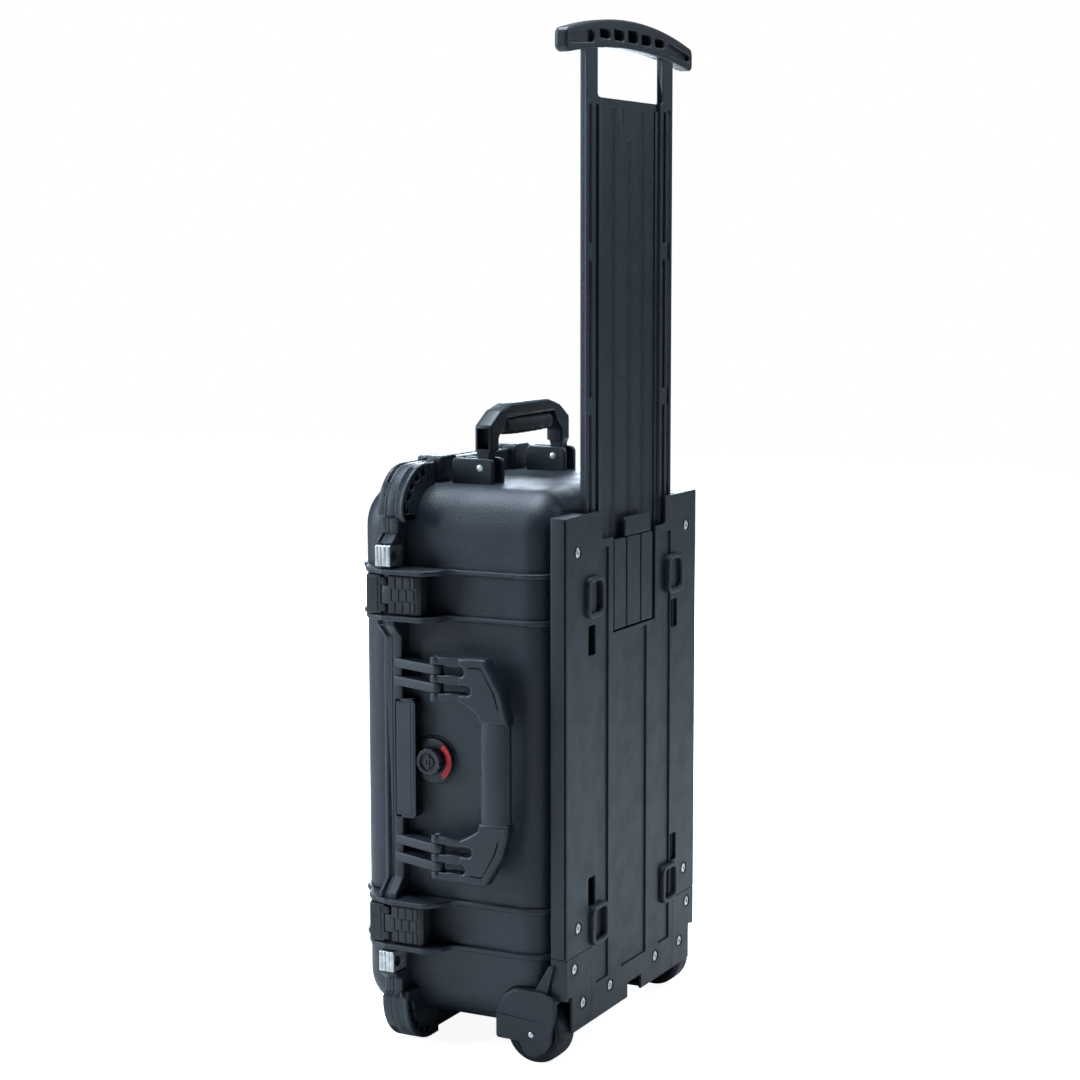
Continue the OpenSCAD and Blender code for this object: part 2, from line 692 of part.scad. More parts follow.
module trolley_plate() color(black) difference() {
    union() {
        block(plate_x0, plate_x0 + 3, -rail_y + 1, rail_y - 1, plate_bottom, window_z);
        // side rails, which run up as posts to the grip
        difference() {
            both_y() block(plate_x0, plate_x1, window_y, rail_y, plate_bottom, 950);
            along_x(90, 110) difference() {
                translate([-200, 900]) square([400, 100]);
                translate([0, grip_under - grip_under_r]) circle(grip_under_r - 0.02, $fn = 256);
            }
        }
        both_y() block(plate_x0, plate_x1 - 1.5, 64, 76, plate_bottom, window_z);
        for (y = [-27, 0, 27])
            block(plate_x0, plate_x0 + 3.6, y - 2.5, y + 2.5, plate_bottom, window_z - 3);
        block(plate_x0, plate_x0 + 3.6, -70, 70, window_z - 6, window_z);
    }
    for (i = [0 : 2]) both_y()
        block(plate_x0 - 1, plate_x1 + 1, 84, 89, 761 - 141 * i, 886 - 141 * i);
    for (i = [0 : 2]) both_y()
        block(plate_x0 + 4, plate_x1 + 1, 75, 78, 768 - 141 * i, 884 - 141 * i);
    // clearance round the low panel screws when the handle is down
    both_y() block(90, 120, 43, 61, plate_bottom - 1, plate_bottom + 32);
}
module trolley_bumpers() color(soft_black) both_y()
    block(plate_x0, plate_x1, 64, 90, plate_bottom - 3, plate_bottom);

base_shell();
hinge_pins();
nameplate();
padlock_eyes_base();
trolley_panel();
trolley_cover();
guide_rails();
corner_housing_left();
corner_housing_right();
wheel_axles();
panel_screws();
front_handle_pins();
top_handle_pins();
valve_body();
valve_gasket();
valve_ring();
valve_membrane();
valve_nut();
valve_knob();
lid_shell();
lid_seal();
padlock_eyes_lid();
latch_pins();
latch_body();  // latch_upper_body
latch_lever();  // latch_upper_lever
latch_lever_pin();  // latch_upper_lever_pin
lower() latch_body();  // latch_lower_body
lower() latch_lever();  // latch_lower_lever
lower() latch_lever_pin();  // latch_lower_lever_pin
front_handle_frame();
front_handle_grip();
top_handle_frame();
top_handle_grip();
trolley_plate();
trolley_grip();
trolley_grip_back();
grip_screws();
trolley_bumpers();
release_tab();
wheel_hub_left();
wheel_tyre_left();
wheel_bushes_left();
wheel_hub_right();
wheel_tyre_right();
wheel_bushes_right();
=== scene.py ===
import math

import bmesh
import bpy
import numpy as np
from mathutils import Matrix, Vector
from mathutils.geometry import tessellate_polygon


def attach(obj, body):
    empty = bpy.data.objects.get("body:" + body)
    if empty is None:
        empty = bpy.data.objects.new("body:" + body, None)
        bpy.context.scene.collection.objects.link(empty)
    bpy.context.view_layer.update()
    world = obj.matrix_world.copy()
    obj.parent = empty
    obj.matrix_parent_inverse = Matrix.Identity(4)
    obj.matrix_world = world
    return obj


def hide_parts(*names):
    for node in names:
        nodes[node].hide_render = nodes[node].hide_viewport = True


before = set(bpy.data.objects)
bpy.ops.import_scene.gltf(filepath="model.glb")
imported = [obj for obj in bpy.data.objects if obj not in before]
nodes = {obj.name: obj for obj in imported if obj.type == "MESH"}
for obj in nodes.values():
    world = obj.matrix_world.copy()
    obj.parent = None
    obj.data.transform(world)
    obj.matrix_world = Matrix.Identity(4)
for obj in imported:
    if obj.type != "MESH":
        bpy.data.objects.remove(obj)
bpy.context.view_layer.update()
mm = 0.001
print("frame loaded:", len(nodes), "nodes")

# camera: standing a little right of the front edge, looking slightly down
shot = {
    "place": (1.0436, -2.0095, 0.7561),
    "azimuth": 27.256,
    "down": 7.138,
    "roll": -0.09,
    "lens": 77.69,
}


def aimCamera(s):
    az, down, roll = (math.radians(s[k]) for k in ("azimuth", "down", "roll"))
    ahead = Vector((-math.sin(az) * math.cos(down), math.cos(az) * math.cos(down), -math.sin(down)))
    flat = Vector((math.cos(az), math.sin(az), 0))
    up = flat.cross(ahead)
    right = math.cos(roll) * flat + math.sin(roll) * up
    top = math.cos(roll) * up - math.sin(roll) * flat
    cam = bpy.data.objects.new("camera", bpy.data.cameras.new("camera"))
    cam.data.lens, cam.data.sensor_width = s["lens"], 36
    cam.data.clip_start, cam.data.clip_end = 0.1, 50
    cam.matrix_world = Matrix.Translation(s["place"]) @ Matrix((right, top, -ahead)).transposed().to_4x4()
    bpy.context.scene.collection.objects.link(cam)
    bpy.context.scene.camera = cam


aimCamera(shot)

# studio: pale floor, white surround and three soft boxes
studio = {
    "floorSize": 12.0,
    "floorColour": (0.70, 0.69, 0.68),
    "floorGlow": 0.93,  # keeps the far floor as pale as the surround
    "surround": (1.0, 1.0, 1.0),
    "surroundTint": (0.74, 0.88, 1.0),  # what the case is lit with
    "seen": 1.0,  # how bright the surround looks
    "lit": 0.08,  # how much it lights the case
    "boxes": {  # name: place, target, width, height, watts
        "lidBox": ((-2.5, -1.6, 1.5), (-0.1, 0, 0.35), 1.4, 2.0, 96),
        "panelBox": ((2.0, 2.4, 2.3), (0.1, 0, 0.8), 1.2, 1.6, 31),
        "topBox": ((-0.3, 0.1, 3.0), (0, 0, 0), 2.0, 2.0, 150),
        "backBox": ((-1.5, 3.0, 1.0), (0, 0, 0.5), 2.2, 1.2, 110),
    },
    "lampTint": (0.74, 0.88, 1.0),
}


def newMaterial(name):
    mat = bpy.data.materials.new(name)
    mat.use_nodes = True
    mat.node_tree.nodes.clear()
    return mat, mat.node_tree


def addNode(tree, kind, settings=None, **inputs):
    node = tree.nodes.new("ShaderNode" + kind)
    for key, value in (settings or {}).items():
        setattr(node, key, value)
    for key, value in inputs.items():
        socket = node.inputs[int(key[1:])] if key[0] == "i" and key[1:].isdigit() else node.inputs[key]
        if isinstance(value, bpy.types.NodeSocket):
            tree.links.new(value, socket)
        else:
            socket.default_value = value
    return node


def mathNode(tree, operation, a, b=0.0, clamp=False):
    node = tree.nodes.new("ShaderNodeMath")
    node.operation, node.use_clamp = operation, clamp
    for i, value in enumerate((a, b)):
        if isinstance(value, bpy.types.NodeSocket):
            tree.links.new(value, node.inputs[i])
        else:
            node.inputs[i].default_value = value
    return node.outputs[0]


def buildStudio(s):
    half = s["floorSize"] / 2
    mesh = bpy.data.meshes.new("floor")
    mesh.from_pydata([(-half, -half, 0), (half, -half, 0), (half, half, 0), (-half, half, 0)], [],
                     [(0, 1, 2, 3)])
    floor = bpy.data.objects.new("floor", mesh)
    bpy.context.scene.collection.objects.link(floor)
    mat, tree = newMaterial("floorPaper")
    shader = addNode(tree, "BsdfPrincipled", Roughness=0.7)
    shader.inputs["Base Color"].default_value = (*s["floorColour"], 1)
    shader.inputs["Emission Color"].default_value = (1, 1, 1, 1)
    looked = addNode(tree, "LightPath").outputs["Is Camera Ray"]
    tree.links.new(mathNode(tree, "MULTIPLY", looked, s["floorGlow"]), shader.inputs["Emission Strength"])
    addNode(tree, "OutputMaterial", Surface=shader.outputs[0])
    mesh.materials.append(mat)
    world = bpy.data.worlds.new("surround")
    world.use_nodes = True
    back = world.node_tree.nodes["Background"]
    seen = addNode(world.node_tree, "LightPath").outputs["Is Camera Ray"]
    shade = addNode(world.node_tree, "Mix", {"data_type": "RGBA"}, i0=seen, i6=(*s["surroundTint"], 1),
                    i7=(*s["surround"], 1))
    world.node_tree.links.new(shade.outputs[2], back.inputs["Color"])
    strength = addNode(world.node_tree, "MapRange", i0=seen, i3=s["lit"], i4=s["seen"])
    world.node_tree.links.new(strength.outputs[0], back.inputs["Strength"])
    bpy.context.scene.world = world
    for name, (place, target, w, h, watts) in s["boxes"].items():
        light = bpy.data.lights.new(name, "AREA")
        light.shape, light.size, light.size_y, light.energy = "RECTANGLE", w, h, watts
        light.color = s["lampTint"]
        lamp = bpy.data.objects.new(name, light)
        lamp.location, lamp.visible_camera = place, False
        lamp.rotation_euler = (Vector(target) - Vector(place)).to_track_quat("-Z", "Y").to_euler()
        bpy.context.scene.collection.objects.link(lamp)


buildStudio(studio)
bpy.context.scene.view_settings.view_transform = "Standard"
print("studio ready")


# shader groups shared by the finishes
def newGroup(name, ins, outs):
    group = bpy.data.node_groups.new(name, "ShaderNodeTree")
    for label, kind, value in ins:
        socket = group.interface.new_socket(name=label, in_out="INPUT", socket_type=kind)
        socket.default_value = value
    for label, kind in outs:
        group.interface.new_socket(name=label, in_out="OUTPUT", socket_type=kind)
    return group, group.nodes.new("NodeGroupInput"), group.nodes.new("NodeGroupOutput")


def ramp(tree, value, low, high):
    return addNode(tree, "MapRange", {"interpolation_type": "SMOOTHSTEP"},
                   i0=value, i1=low, i2=high).outputs[0]


def makeGrain():
    # pebble grain of a moulded surface, with slow flow marks in its shade
    group, gin, gout = newGroup(
        "mouldGrain",
        [("Grain size", "NodeSocketFloat", 0.0012), ("Flow size", "NodeSocketFloat", 0.09)],
        [("Height", "NodeSocketFloat"), ("Shade", "NodeSocketFloat"), ("Sheen patch", "NodeSocketFloat")])
    where = addNode(group, "TexCoord").outputs["Object"]
    fine = mathNode(group, "DIVIDE", 1.0, gin.outputs[0])
    slow = mathNode(group, "DIVIDE", 1.0, gin.outputs[1])
    pebble = addNode(group, "TexVoronoi", {"feature": "SMOOTH_F1"}, Vector=where, Scale=fine,
                     Smoothness=0.7).outputs["Distance"]
    speck = addNode(group, "TexNoise", Vector=where, Scale=mathNode(group, "MULTIPLY", fine, 1.9),
                    Detail=2.0).outputs["Fac"]
    flow = addNode(group, "TexNoise", Vector=where, Scale=slow, Detail=4.0, Roughness=0.62).outputs["Fac"]
    patch = addNode(group, "TexNoise", Vector=where, Scale=mathNode(group, "MULTIPLY", slow, 3.3),
                    Detail=3.0).outputs["Fac"]
    height = mathNode(group, "ADD", mathNode(group, "MULTIPLY", pebble, -0.8),
                      mathNode(group, "MULTIPLY", speck, 0.5))
    group.links.new(height, gout.inputs[0])
    group.links.new(ramp(group, flow, 0.3, 0.7), gout.inputs[1])
    group.links.new(ramp(group, patch, 0.35, 0.75), gout.inputs[2])
    return group


def makeMarks():
    # fine rubbed scratches along two directions, and dust lying on what faces up
    group, gin, gout = newGroup(
        "handlingMarks",
        [("Amount", "NodeSocketFloat", 0.5), ("Dust", "NodeSocketFloat", 0.5)],
        [("Scuff", "NodeSocketFloat"), ("Dust", "NodeSocketFloat")])
    where = addNode(group, "TexCoord").outputs["Object"]
    layers = []
    for turn, stretch, cut in (((0.2, 0.1, 0.5), (900, 900, 26), 0.66),
                               ((0.9, 0.3, -0.4), (620, 24, 620), 0.68)):
        placed = addNode(group, "Mapping", Vector=where, Rotation=turn, Scale=stretch).outputs[0]
        line = addNode(group, "TexNoise", Vector=placed, Scale=1.0, Detail=2.0).outputs["Fac"]
        layers.append(ramp(group, line, cut, cut + 0.1))
    area = addNode(group, "TexNoise", Vector=where, Scale=14.0, Detail=3.0).outputs["Fac"]
    scuff = mathNode(group, "MULTIPLY", mathNode(group, "MAXIMUM", *layers), ramp(group, area, 0.42, 0.62))
    group.links.new(mathNode(group, "MULTIPLY", scuff, gin.outputs[0], True), gout.inputs[0])
    facing = addNode(group, "SeparateXYZ",
                     i0=addNode(group, "NewGeometry").outputs["Normal"]).outputs[2]
    fluff = addNode(group, "TexNoise", Vector=where, Scale=260.0, Detail=5.0, Roughness=0.7).outputs["Fac"]
    dust = mathNode(group, "MULTIPLY", ramp(group, facing, 0.2, 0.95), ramp(group, fluff, 0.45, 0.75))
    group.links.new(mathNode(group, "MULTIPLY", dust, gin.outputs[1], True), gout.inputs[1])
    return group


def makeEdges():
    # where the surface turns sharply within a small radius: a mask for a painted highlight, the edge's colour
    # made lighter as a painted sheen, and its finish made a little glossier
    group, gin, gout = newGroup(
        "edgePaintedSheen", [("Amount", "NodeSocketFloat", 0.5)], [("Painted sheen", "NodeSocketFloat")])
    where = addNode(group, "TexCoord").outputs["Object"]
    soft = addNode(group, "Bevel", {"samples": 4}, Radius=0.0012).outputs[0]
    hard = addNode(group, "NewGeometry").outputs["Normal"]
    turn = addNode(group, "VectorMath", {"operation": "DOT_PRODUCT"}, i0=soft, i1=hard).outputs["Value"]
    bent = ramp(group, mathNode(group, "SUBTRACT", 1.0, turn), 0.02, 0.25)
    broken = addNode(group, "TexNoise", Vector=where, Scale=120.0, Detail=4.0).outputs["Fac"]
    edgeSheenMask = mathNode(group, "MULTIPLY", bent, ramp(group, broken, 0.3, 0.7))
    group.links.new(mathNode(group, "MULTIPLY", edgeSheenMask, gin.outputs[0], True), gout.inputs[0])
    return group


grainGroup, marksGroup, edgeSheenGroup = makeGrain(), makeMarks(), makeEdges()


def useGroup(tree, group, **inputs):
    node = tree.nodes.new("ShaderNodeGroup")
    node.node_tree = group
    for key, value in inputs.items():
        node.inputs[key.replace("_", " ")].default_value = value
    return node


def mixColour(tree, fac, a, b):
    node = addNode(tree, "Mix", {"data_type": "RGBA"})
    for index, value in ((0, fac), (6, a), (7, b)):
        if isinstance(value, bpy.types.NodeSocket):
            tree.links.new(value, node.inputs[index])
        else:
            node.inputs[index].default_value = (*value, 1) if isinstance(value, tuple) else value
    return node.outputs[2]


# every finish is one row: two shades, gloss range, then grain, scuff wear, dust and the painted edge sheen where
# they differ from the usual
usual = dict(grain=0.0006, bump=0.00005, flow=0.05, scuff=0.3, dust=0.2, edge=0.4, ior=1.5)
finishes = {
    "caseShell": dict(dark=(0.0105, 0.0150, 0.0235), light=(0.015, 0.020, 0.030), rough=(0.42, 0.52),
                      grain=0.0014, bump=0.00030, flow=0.11, scuff=0.35, dust=0.25, edge=0.35),
    "panelPlastic": dict(dark=(0.0085, 0.0125, 0.0200), light=(0.0115, 0.0162, 0.0250), rough=(0.44, 0.52),
                         grain=0.0007, flow=0.07, scuff=0.5, edge=0.45, ior=1.48),
    "handlePlastic": dict(dark=(0.0080, 0.0120, 0.0190), light=(0.0115, 0.0160, 0.0245), rough=(0.38, 0.50),
                          grain=0.0008),
    "latchPlastic": dict(dark=(0.007, 0.009, 0.013), light=(0.012, 0.015, 0.020), rough=(0.42, 0.58),
                         bump=0.00004, flow=0.04, edge=0.5),
    "gripRubber": dict(dark=(0.008, 0.011, 0.016), light=(0.013, 0.017, 0.024), rough=(0.55, 0.72),
                       grain=0.0005, bump=0.00003, flow=0.03, scuff=0.1, dust=0.4, edge=0.1),
    "tyreRubber": dict(dark=(0.009, 0.011, 0.015), light=(0.016, 0.019, 0.025), rough=(0.52, 0.72),
                       flow=0.02, scuff=0.5, dust=0.7, edge=0.1),
    "sealFoam": dict(dark=(0.010, 0.010, 0.011), light=(0.018, 0.018, 0.019), rough=(0.85, 0.95),
                     grain=0.0004, bump=0.00008, flow=0.02, scuff=0.0, dust=0.4, edge=0.0, ior=1.45),
    "plateLabel": dict(dark=(0.020, 0.026, 0.036), light=(0.028, 0.034, 0.046), rough=(0.34, 0.46),
                       grain=0.0005, bump=0.00002, scuff=0.4, dust=0.1, edge=0.2),
    "redPlastic": dict(dark=(0.62, 0.020, 0.030), light=(0.72, 0.035, 0.045), rough=(0.35, 0.5),
                       grain=0.0005, bump=0.00002, flow=0.02, scuff=0.2, edge=0.0),
}
metals = {
    "stainless": dict(metal=0.9, dark=(0.46, 0.46, 0.46), light=(0.66, 0.66, 0.65), rough=(0.32, 0.46),
                      brush=(40, 1800, 1800)),
    "screwSteel": dict(metal=0.6, dark=(0.82, 0.82, 0.82), light=(0.94, 0.94, 0.93), rough=(0.32, 0.44),
                       brush=(900, 900, 900)),
    "bushMetal": dict(metal=1.0, dark=(0.40, 0.34, 0.24), light=(0.56, 0.48, 0.34), rough=(0.30, 0.45),
                      brush=(900, 60, 900)),
}


def plasticMaterial(name, f):
    mat, tree = newMaterial(name)
    grain = useGroup(tree, grainGroup, Grain_size=f["grain"], Flow_size=f["flow"]).outputs
    marks = useGroup(tree, marksGroup, Amount=f["scuff"], Dust=f["dust"]).outputs
    edgeSheenMask = useGroup(tree, edgeSheenGroup, Amount=f["edge"]).outputs[0]
    base = mixColour(tree, grain["Shade"], f["dark"], f["light"])
    # painted highlight: sharp edges are made lighter in colour, a painted sheen for light caught on rounded
    # edges
    sheenedBase = mixColour(tree, edgeSheenMask, base, tuple(min(1.0, 1.9 * c + 0.008) for c in f["light"]))
    scuffed = mixColour(tree, marks["Scuff"], sheenedBase, tuple(min(1.0, 2.2 * c + 0.01) for c in f["light"]))
    dusty = mixColour(tree, mathNode(tree, "MULTIPLY", marks["Dust"], 0.35), scuffed, (0.16, 0.16, 0.16))
    low, high = f["rough"]
    rough = mathNode(tree, "ADD", mathNode(tree, "MULTIPLY", grain["Sheen patch"], high - low), low)
    rough = mathNode(tree, "ADD", rough, mathNode(tree, "MULTIPLY", marks["Dust"], 0.15))
    rough = mathNode(tree, "SUBTRACT", rough, mathNode(tree, "MULTIPLY", edgeSheenMask, 0.10), True)
    height = mathNode(tree, "SUBTRACT", grain["Height"], mathNode(tree, "MULTIPLY", marks["Scuff"], 0.3))
    bump = addNode(tree, "Bump", Strength=1.0, Distance=f["bump"], Height=height)
    shader = addNode(tree, "BsdfPrincipled", Roughness=rough, IOR=f["ior"], Normal=bump.outputs[0])
    tree.links.new(dusty, shader.inputs["Base Color"])
    addNode(tree, "OutputMaterial", Surface=shader.outputs[0])
    return mat


def metalMaterial(name, f):
    mat, tree = newMaterial(name)
    where = addNode(tree, "TexCoord").outputs["Object"]
    placed = addNode(tree, "Mapping", Vector=where, Scale=f["brush"]).outputs[0]
    brushed = addNode(tree, "TexNoise", Vector=placed, Scale=1.0, Detail=4.0, Roughness=0.6).outputs["Fac"]
    stain = addNode(tree, "TexNoise", Vector=where, Scale=180.0, Detail=4.0).outputs["Fac"]
    colour = mixColour(tree, ramp(tree, stain, 0.3, 0.7), f["dark"], f["light"])
    low, high = f["rough"]
    rough = mathNode(tree, "ADD", mathNode(tree, "MULTIPLY", brushed, high - low), low)
    bump = addNode(tree, "Bump", Strength=0.5, Distance=0.00003, Height=brushed)
    shader = addNode(tree, "BsdfPrincipled", Metallic=f["metal"], Roughness=rough, Normal=bump.outputs[0])
    tree.links.new(colour, shader.inputs["Base Color"])
    addNode(tree, "OutputMaterial", Surface=shader.outputs[0])
    return mat


mats = {name: plasticMaterial(name, {**usual, **f}) for name, f in finishes.items()}
mats.update({name: metalMaterial(name, f) for name, f in metals.items()})
print("finishes made:", len(mats))


# shape makers: lengths in mm, and each part is (points, quads, triangles)
def outward(points, quads, tris):
    # signed volume of all faces; a part that comes out negative is turned round
    flat = np.vstack([quads[:, :3], quads[:, [0, 2, 3]], tris])
    a, b, c = (points[flat[:, i]] for i in range(3))
    if np.einsum("ij,ij->i", a, np.cross(b, c)).sum() < 0:
        quads, tris = quads[:, ::-1], tris[:, ::-1]
    return points, quads, tris


def roundPath(corners, radius=0.0, step=12.0):
    # each corner (a, b[, own radius]) becomes an arc that touches both of its edges, one point every step
    # degrees
    pts = np.array([c[:2] for c in corners], float)
    radii = [c[2] if len(c) > 2 else radius for c in corners]
    made = []
    for i, (p, r) in enumerate(zip(pts, radii)):
        before, after = pts[i - 1] - p, pts[(i + 1) % len(pts)] - p
        la, lb = np.linalg.norm(before), np.linalg.norm(after)
        u, v = before / la, after / lb
        half = math.acos(max(-1.0, min(1.0, float(u @ v)))) / 2
        if r <= 0 or half > math.radians(89):
            made.append(p[None])
            continue
        roomA, roomB = (0.49 if radii[j % len(pts)] > 0 else 0.97 for j in (i - 1, i + 1))
        reach = min(r / math.tan(half), roomA * la, roomB * lb)
        r = reach * math.tan(half)
        centre = p + (u + v) / np.linalg.norm(u + v) * (r / math.sin(half))
        a0 = math.atan2(*(p + u * reach - centre)[::-1])
        sweep = math.remainder(math.atan2(*(p + v * reach - centre)[::-1]) - a0, math.tau)
        t = a0 + sweep * np.linspace(0, 1, max(2, int(abs(math.degrees(sweep)) / step) + 2))
        made.append(centre + r * np.stack([np.cos(t), np.sin(t)], 1))
    return np.vstack(made)


def roundBox(a0, a1, b0, b1, r, step=12.0):
    # rectangle a0..a1 by b0..b1 with one radius on all four corners
    return roundPath([(a0, b0), (a1, b0), (a1, b1), (a0, b1)], r, step)


def ring(a, b, r, count=32):
    # circle: centre plus r times (cos t, sin t)
    t = np.linspace(0, math.tau, count, endpoint=False)
    return np.stack([a + r * np.cos(t), b + r * np.sin(t)], 1)


def turned(loop, left):
    # the sign of the loop's shoelace area says which way it runs
    x, y = loop.T
    area = float(np.sum(x * np.roll(y, -1) - np.roll(x, -1) * y))
    return loop if (area > 0) == left else loop[::-1]


def mitre(loop):
    # inward direction at each point, long enough that both edges move in by one
    ahead = np.roll(loop, -1, 0) - loop
    ahead /= np.maximum(np.linalg.norm(ahead, axis=1, keepdims=True), 1e-9)
    side = np.stack([-ahead[:, 1], ahead[:, 0]], 1)
    back = np.roll(side, 1, 0)
    return (side + back) / np.maximum(1 + np.sum(side * back, 1, keepdims=True), 0.35)


def toSpace(flat, height, axis):
    # outline plane and extrusion axis to x, y, z
    columns = {"x": (height, flat[..., 0], flat[..., 1]), "y": (flat[..., 0], height, flat[..., 1]),
               "z": (flat[..., 0], flat[..., 1], height)}[axis]
    return np.stack(np.broadcast_arrays(*columns), -1)


def wrapQuads(rows, cols, start=0):
    # faces of a rows by cols grid whose columns close on themselves
    r, c = np.meshgrid(np.arange(rows - 1), np.arange(cols), indexing="ij")
    n = (c + 1) % cols
    return np.stack([r * cols + c, r * cols + n, (r + 1) * cols + n, (r + 1) * cols + c],
                    -1).reshape(-1, 4) + start


def capTris(loops, starts, up):
    # flat triangles between nested loops, turned to face up or down by the sign of their area
    flat = [[Vector((*p, 0)) for p in loop] for loop in loops]
    tris = np.array(tessellate_polygon(flat), int).reshape(-1, 3)
    index = np.concatenate([np.arange(len(loop)) + s for loop, s in zip(loops, starts)])
    p = np.vstack(loops)
    a, b, c = (p[tris[:, i]] for i in range(3))
    area = (b[:, 0] - a[:, 0]) * (c[:, 1] - a[:, 1]) - (b[:, 1] - a[:, 1]) * (c[:, 0] - a[:, 0])
    wrong = (area > 0) != up
    tris[wrong] = tris[wrong][:, ::-1]
    return index[tris[np.abs(area) > 1e-9]]


def edgeRows(lo, hi, low, high, steps):
    # (inset, height) of a wall whose two edges are quarter rounds, with one flat row inside each round
    t = np.linspace(0, math.pi / 2, steps + 1)
    foot = [(0, lo)] if low <= 0 else [(low + 0.3, lo)] + [
        (low * (1 - math.sin(a)), lo + low * (1 - math.cos(a))) for a in t]
    head = [(0, hi)] if high <= 0 else [
        (high * (1 - math.cos(a)), hi - high * (1 - math.sin(a))) for a in t] + [(high + 0.3, hi)]
    return np.array(foot + head, float)


def slab(axis, lo, hi, outline, holes=(), low=0.8, high=0.8, steps=3):
    # an outline with holes carried from lo to hi along the axis; rows shift along the mitre to round both
    # edges
    rows = edgeRows(lo, hi, low, high, steps)
    loops = [turned(np.asarray(outline, float), True)] + [turned(np.asarray(h, float), False) for h in holes]
    points, quads, starts, total = [], [], [], 0
    for loop in loops:
        grid = loop[None] + rows[:, 0, None, None] * mitre(loop)[None]
        points.append(toSpace(grid, rows[:, 1, None], axis).reshape(-1, 3))
        quads.append(wrapQuads(len(rows), len(loop), total))
        starts.append(total)
        total += len(rows) * len(loop)
    first = [loop + rows[0, 0] * mitre(loop) for loop in loops]
    last = [loop + rows[-1, 0] * mitre(loop) for loop in loops]
    ends = [s + (len(rows) - 1) * len(loop) for s, loop in zip(starts, loops)]
    tris = np.vstack([capTris(first, starts, False), capTris(last, ends, True)])
    return outward(np.vstack(points), np.vstack(quads), tris)


def box(x0, x1, y0, y1, z0, z1, r=0.6):
    # rectangle in x and y carried up z, its end edges rounded by r
    return slab("z", z0, z1, roundBox(x0, x1, y0, y1, 0), low=r, high=r)


def lathe(axis, centre, profile, count=40, wave=None):
    # profile (radius, height) turned about the axis; wave may change each radius with the angle
    profile = np.asarray(profile, float)
    t = np.linspace(0, math.tau, count, endpoint=False)
    radius = np.repeat(profile[:, :1], count, 1)
    if wave is not None:
        radius = wave(radius, profile[:, 1:], t[None])
    flat = np.stack([centre[0] + radius * np.cos(t), centre[1] + radius * np.sin(t)], -1)
    points = toSpace(flat, profile[:, 1, None], axis).reshape(-1, 3)
    quads = wrapQuads(len(profile), count)
    return outward(points, quads, np.zeros((0, 3), int))


def carry(points):
    # a grid of rings (rings, points, 3) joined one to the next, both end rings closed with a fan
    rings, count = points.shape[:2]
    quads = wrapQuads(rings, count)
    flat = points.reshape(-1, 3)
    mids = np.array([points[0].mean(0), points[-1].mean(0)])
    i = np.arange(count)
    fan = [np.stack([np.full(count, len(flat)), (i + 1) % count, i], 1),
           np.stack([np.full(count, len(flat) + 1), i + (rings - 1) * count,
                     (i + 1) % count + (rings - 1) * count], 1)]
    return outward(np.vstack([flat, mids]), quads, np.vstack(fan))


def mirrored(part, axis, about=0.0):
    # each point p on the axis becomes 2 * about - p, and the faces run the other way
    points = part[0].copy()
    points[:, axis] = 2 * about - points[:, axis]
    return points, part[1][:, ::-1], part[2][:, ::-1]


def bothSides(parts, axis=1, about=0.0):
    # the parts and their mirror images
    return parts + [mirrored(p, axis, about) for p in parts]


def addPiece(name, parts, finish, body, replaces=(), sharp=32):
    # all parts in one mesh, in metres, riding on its body in place of the CAD nodes it replaces
    points, quads, tris, total = [], [], [], 0
    for p, q, t in parts:
        points.append(p)
        quads.append(q + total)
        tris.append(t + total)
        total += len(p)
    mesh = bpy.data.meshes.new(name)
    faces = np.vstack(quads).tolist() + np.vstack(tris).tolist()
    mesh.from_pydata((np.vstack(points) * mm).tolist(), [], faces)
    tidy = bmesh.new()
    tidy.from_mesh(mesh)
    bmesh.ops.remove_doubles(tidy, verts=tidy.verts, dist=1e-7)
    tidy.to_mesh(mesh)
    tidy.free()
    mesh.polygons.foreach_set("use_smooth", np.ones(len(mesh.polygons), bool))
    mesh.set_sharp_from_angle(angle=math.radians(sharp))
    mesh.materials.append(mats[finish])
    obj = bpy.data.objects.new(name, mesh)
    bpy.context.scene.collection.objects.link(obj)
    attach(obj, body)
    if replaces:
        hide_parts(*replaces)
    return obj


# case shells
case = {
    "mid": 280.0, "part": -66.5, "wide": 288.0, "tall": 510.0, "corner": 40.0, "edge": 26.0, "wall": 4.5,
    "baseDeep": 157.0, "lidDeep": 45.5, "front": -144.0, "reach": -175.5,
    "ribs": (-178.7, -135.3, 135.3, 178.7), "ribThick": 5.0, "ribProud": 4.5, "lidRibProud": 3.0,
    "rimDeep": 10.0, "cornerDeep": 18.0, "rimCorner": 45.0, "hingeY": 167.5, "knuckle": 7.5, "hingeZ": 150.0,
}


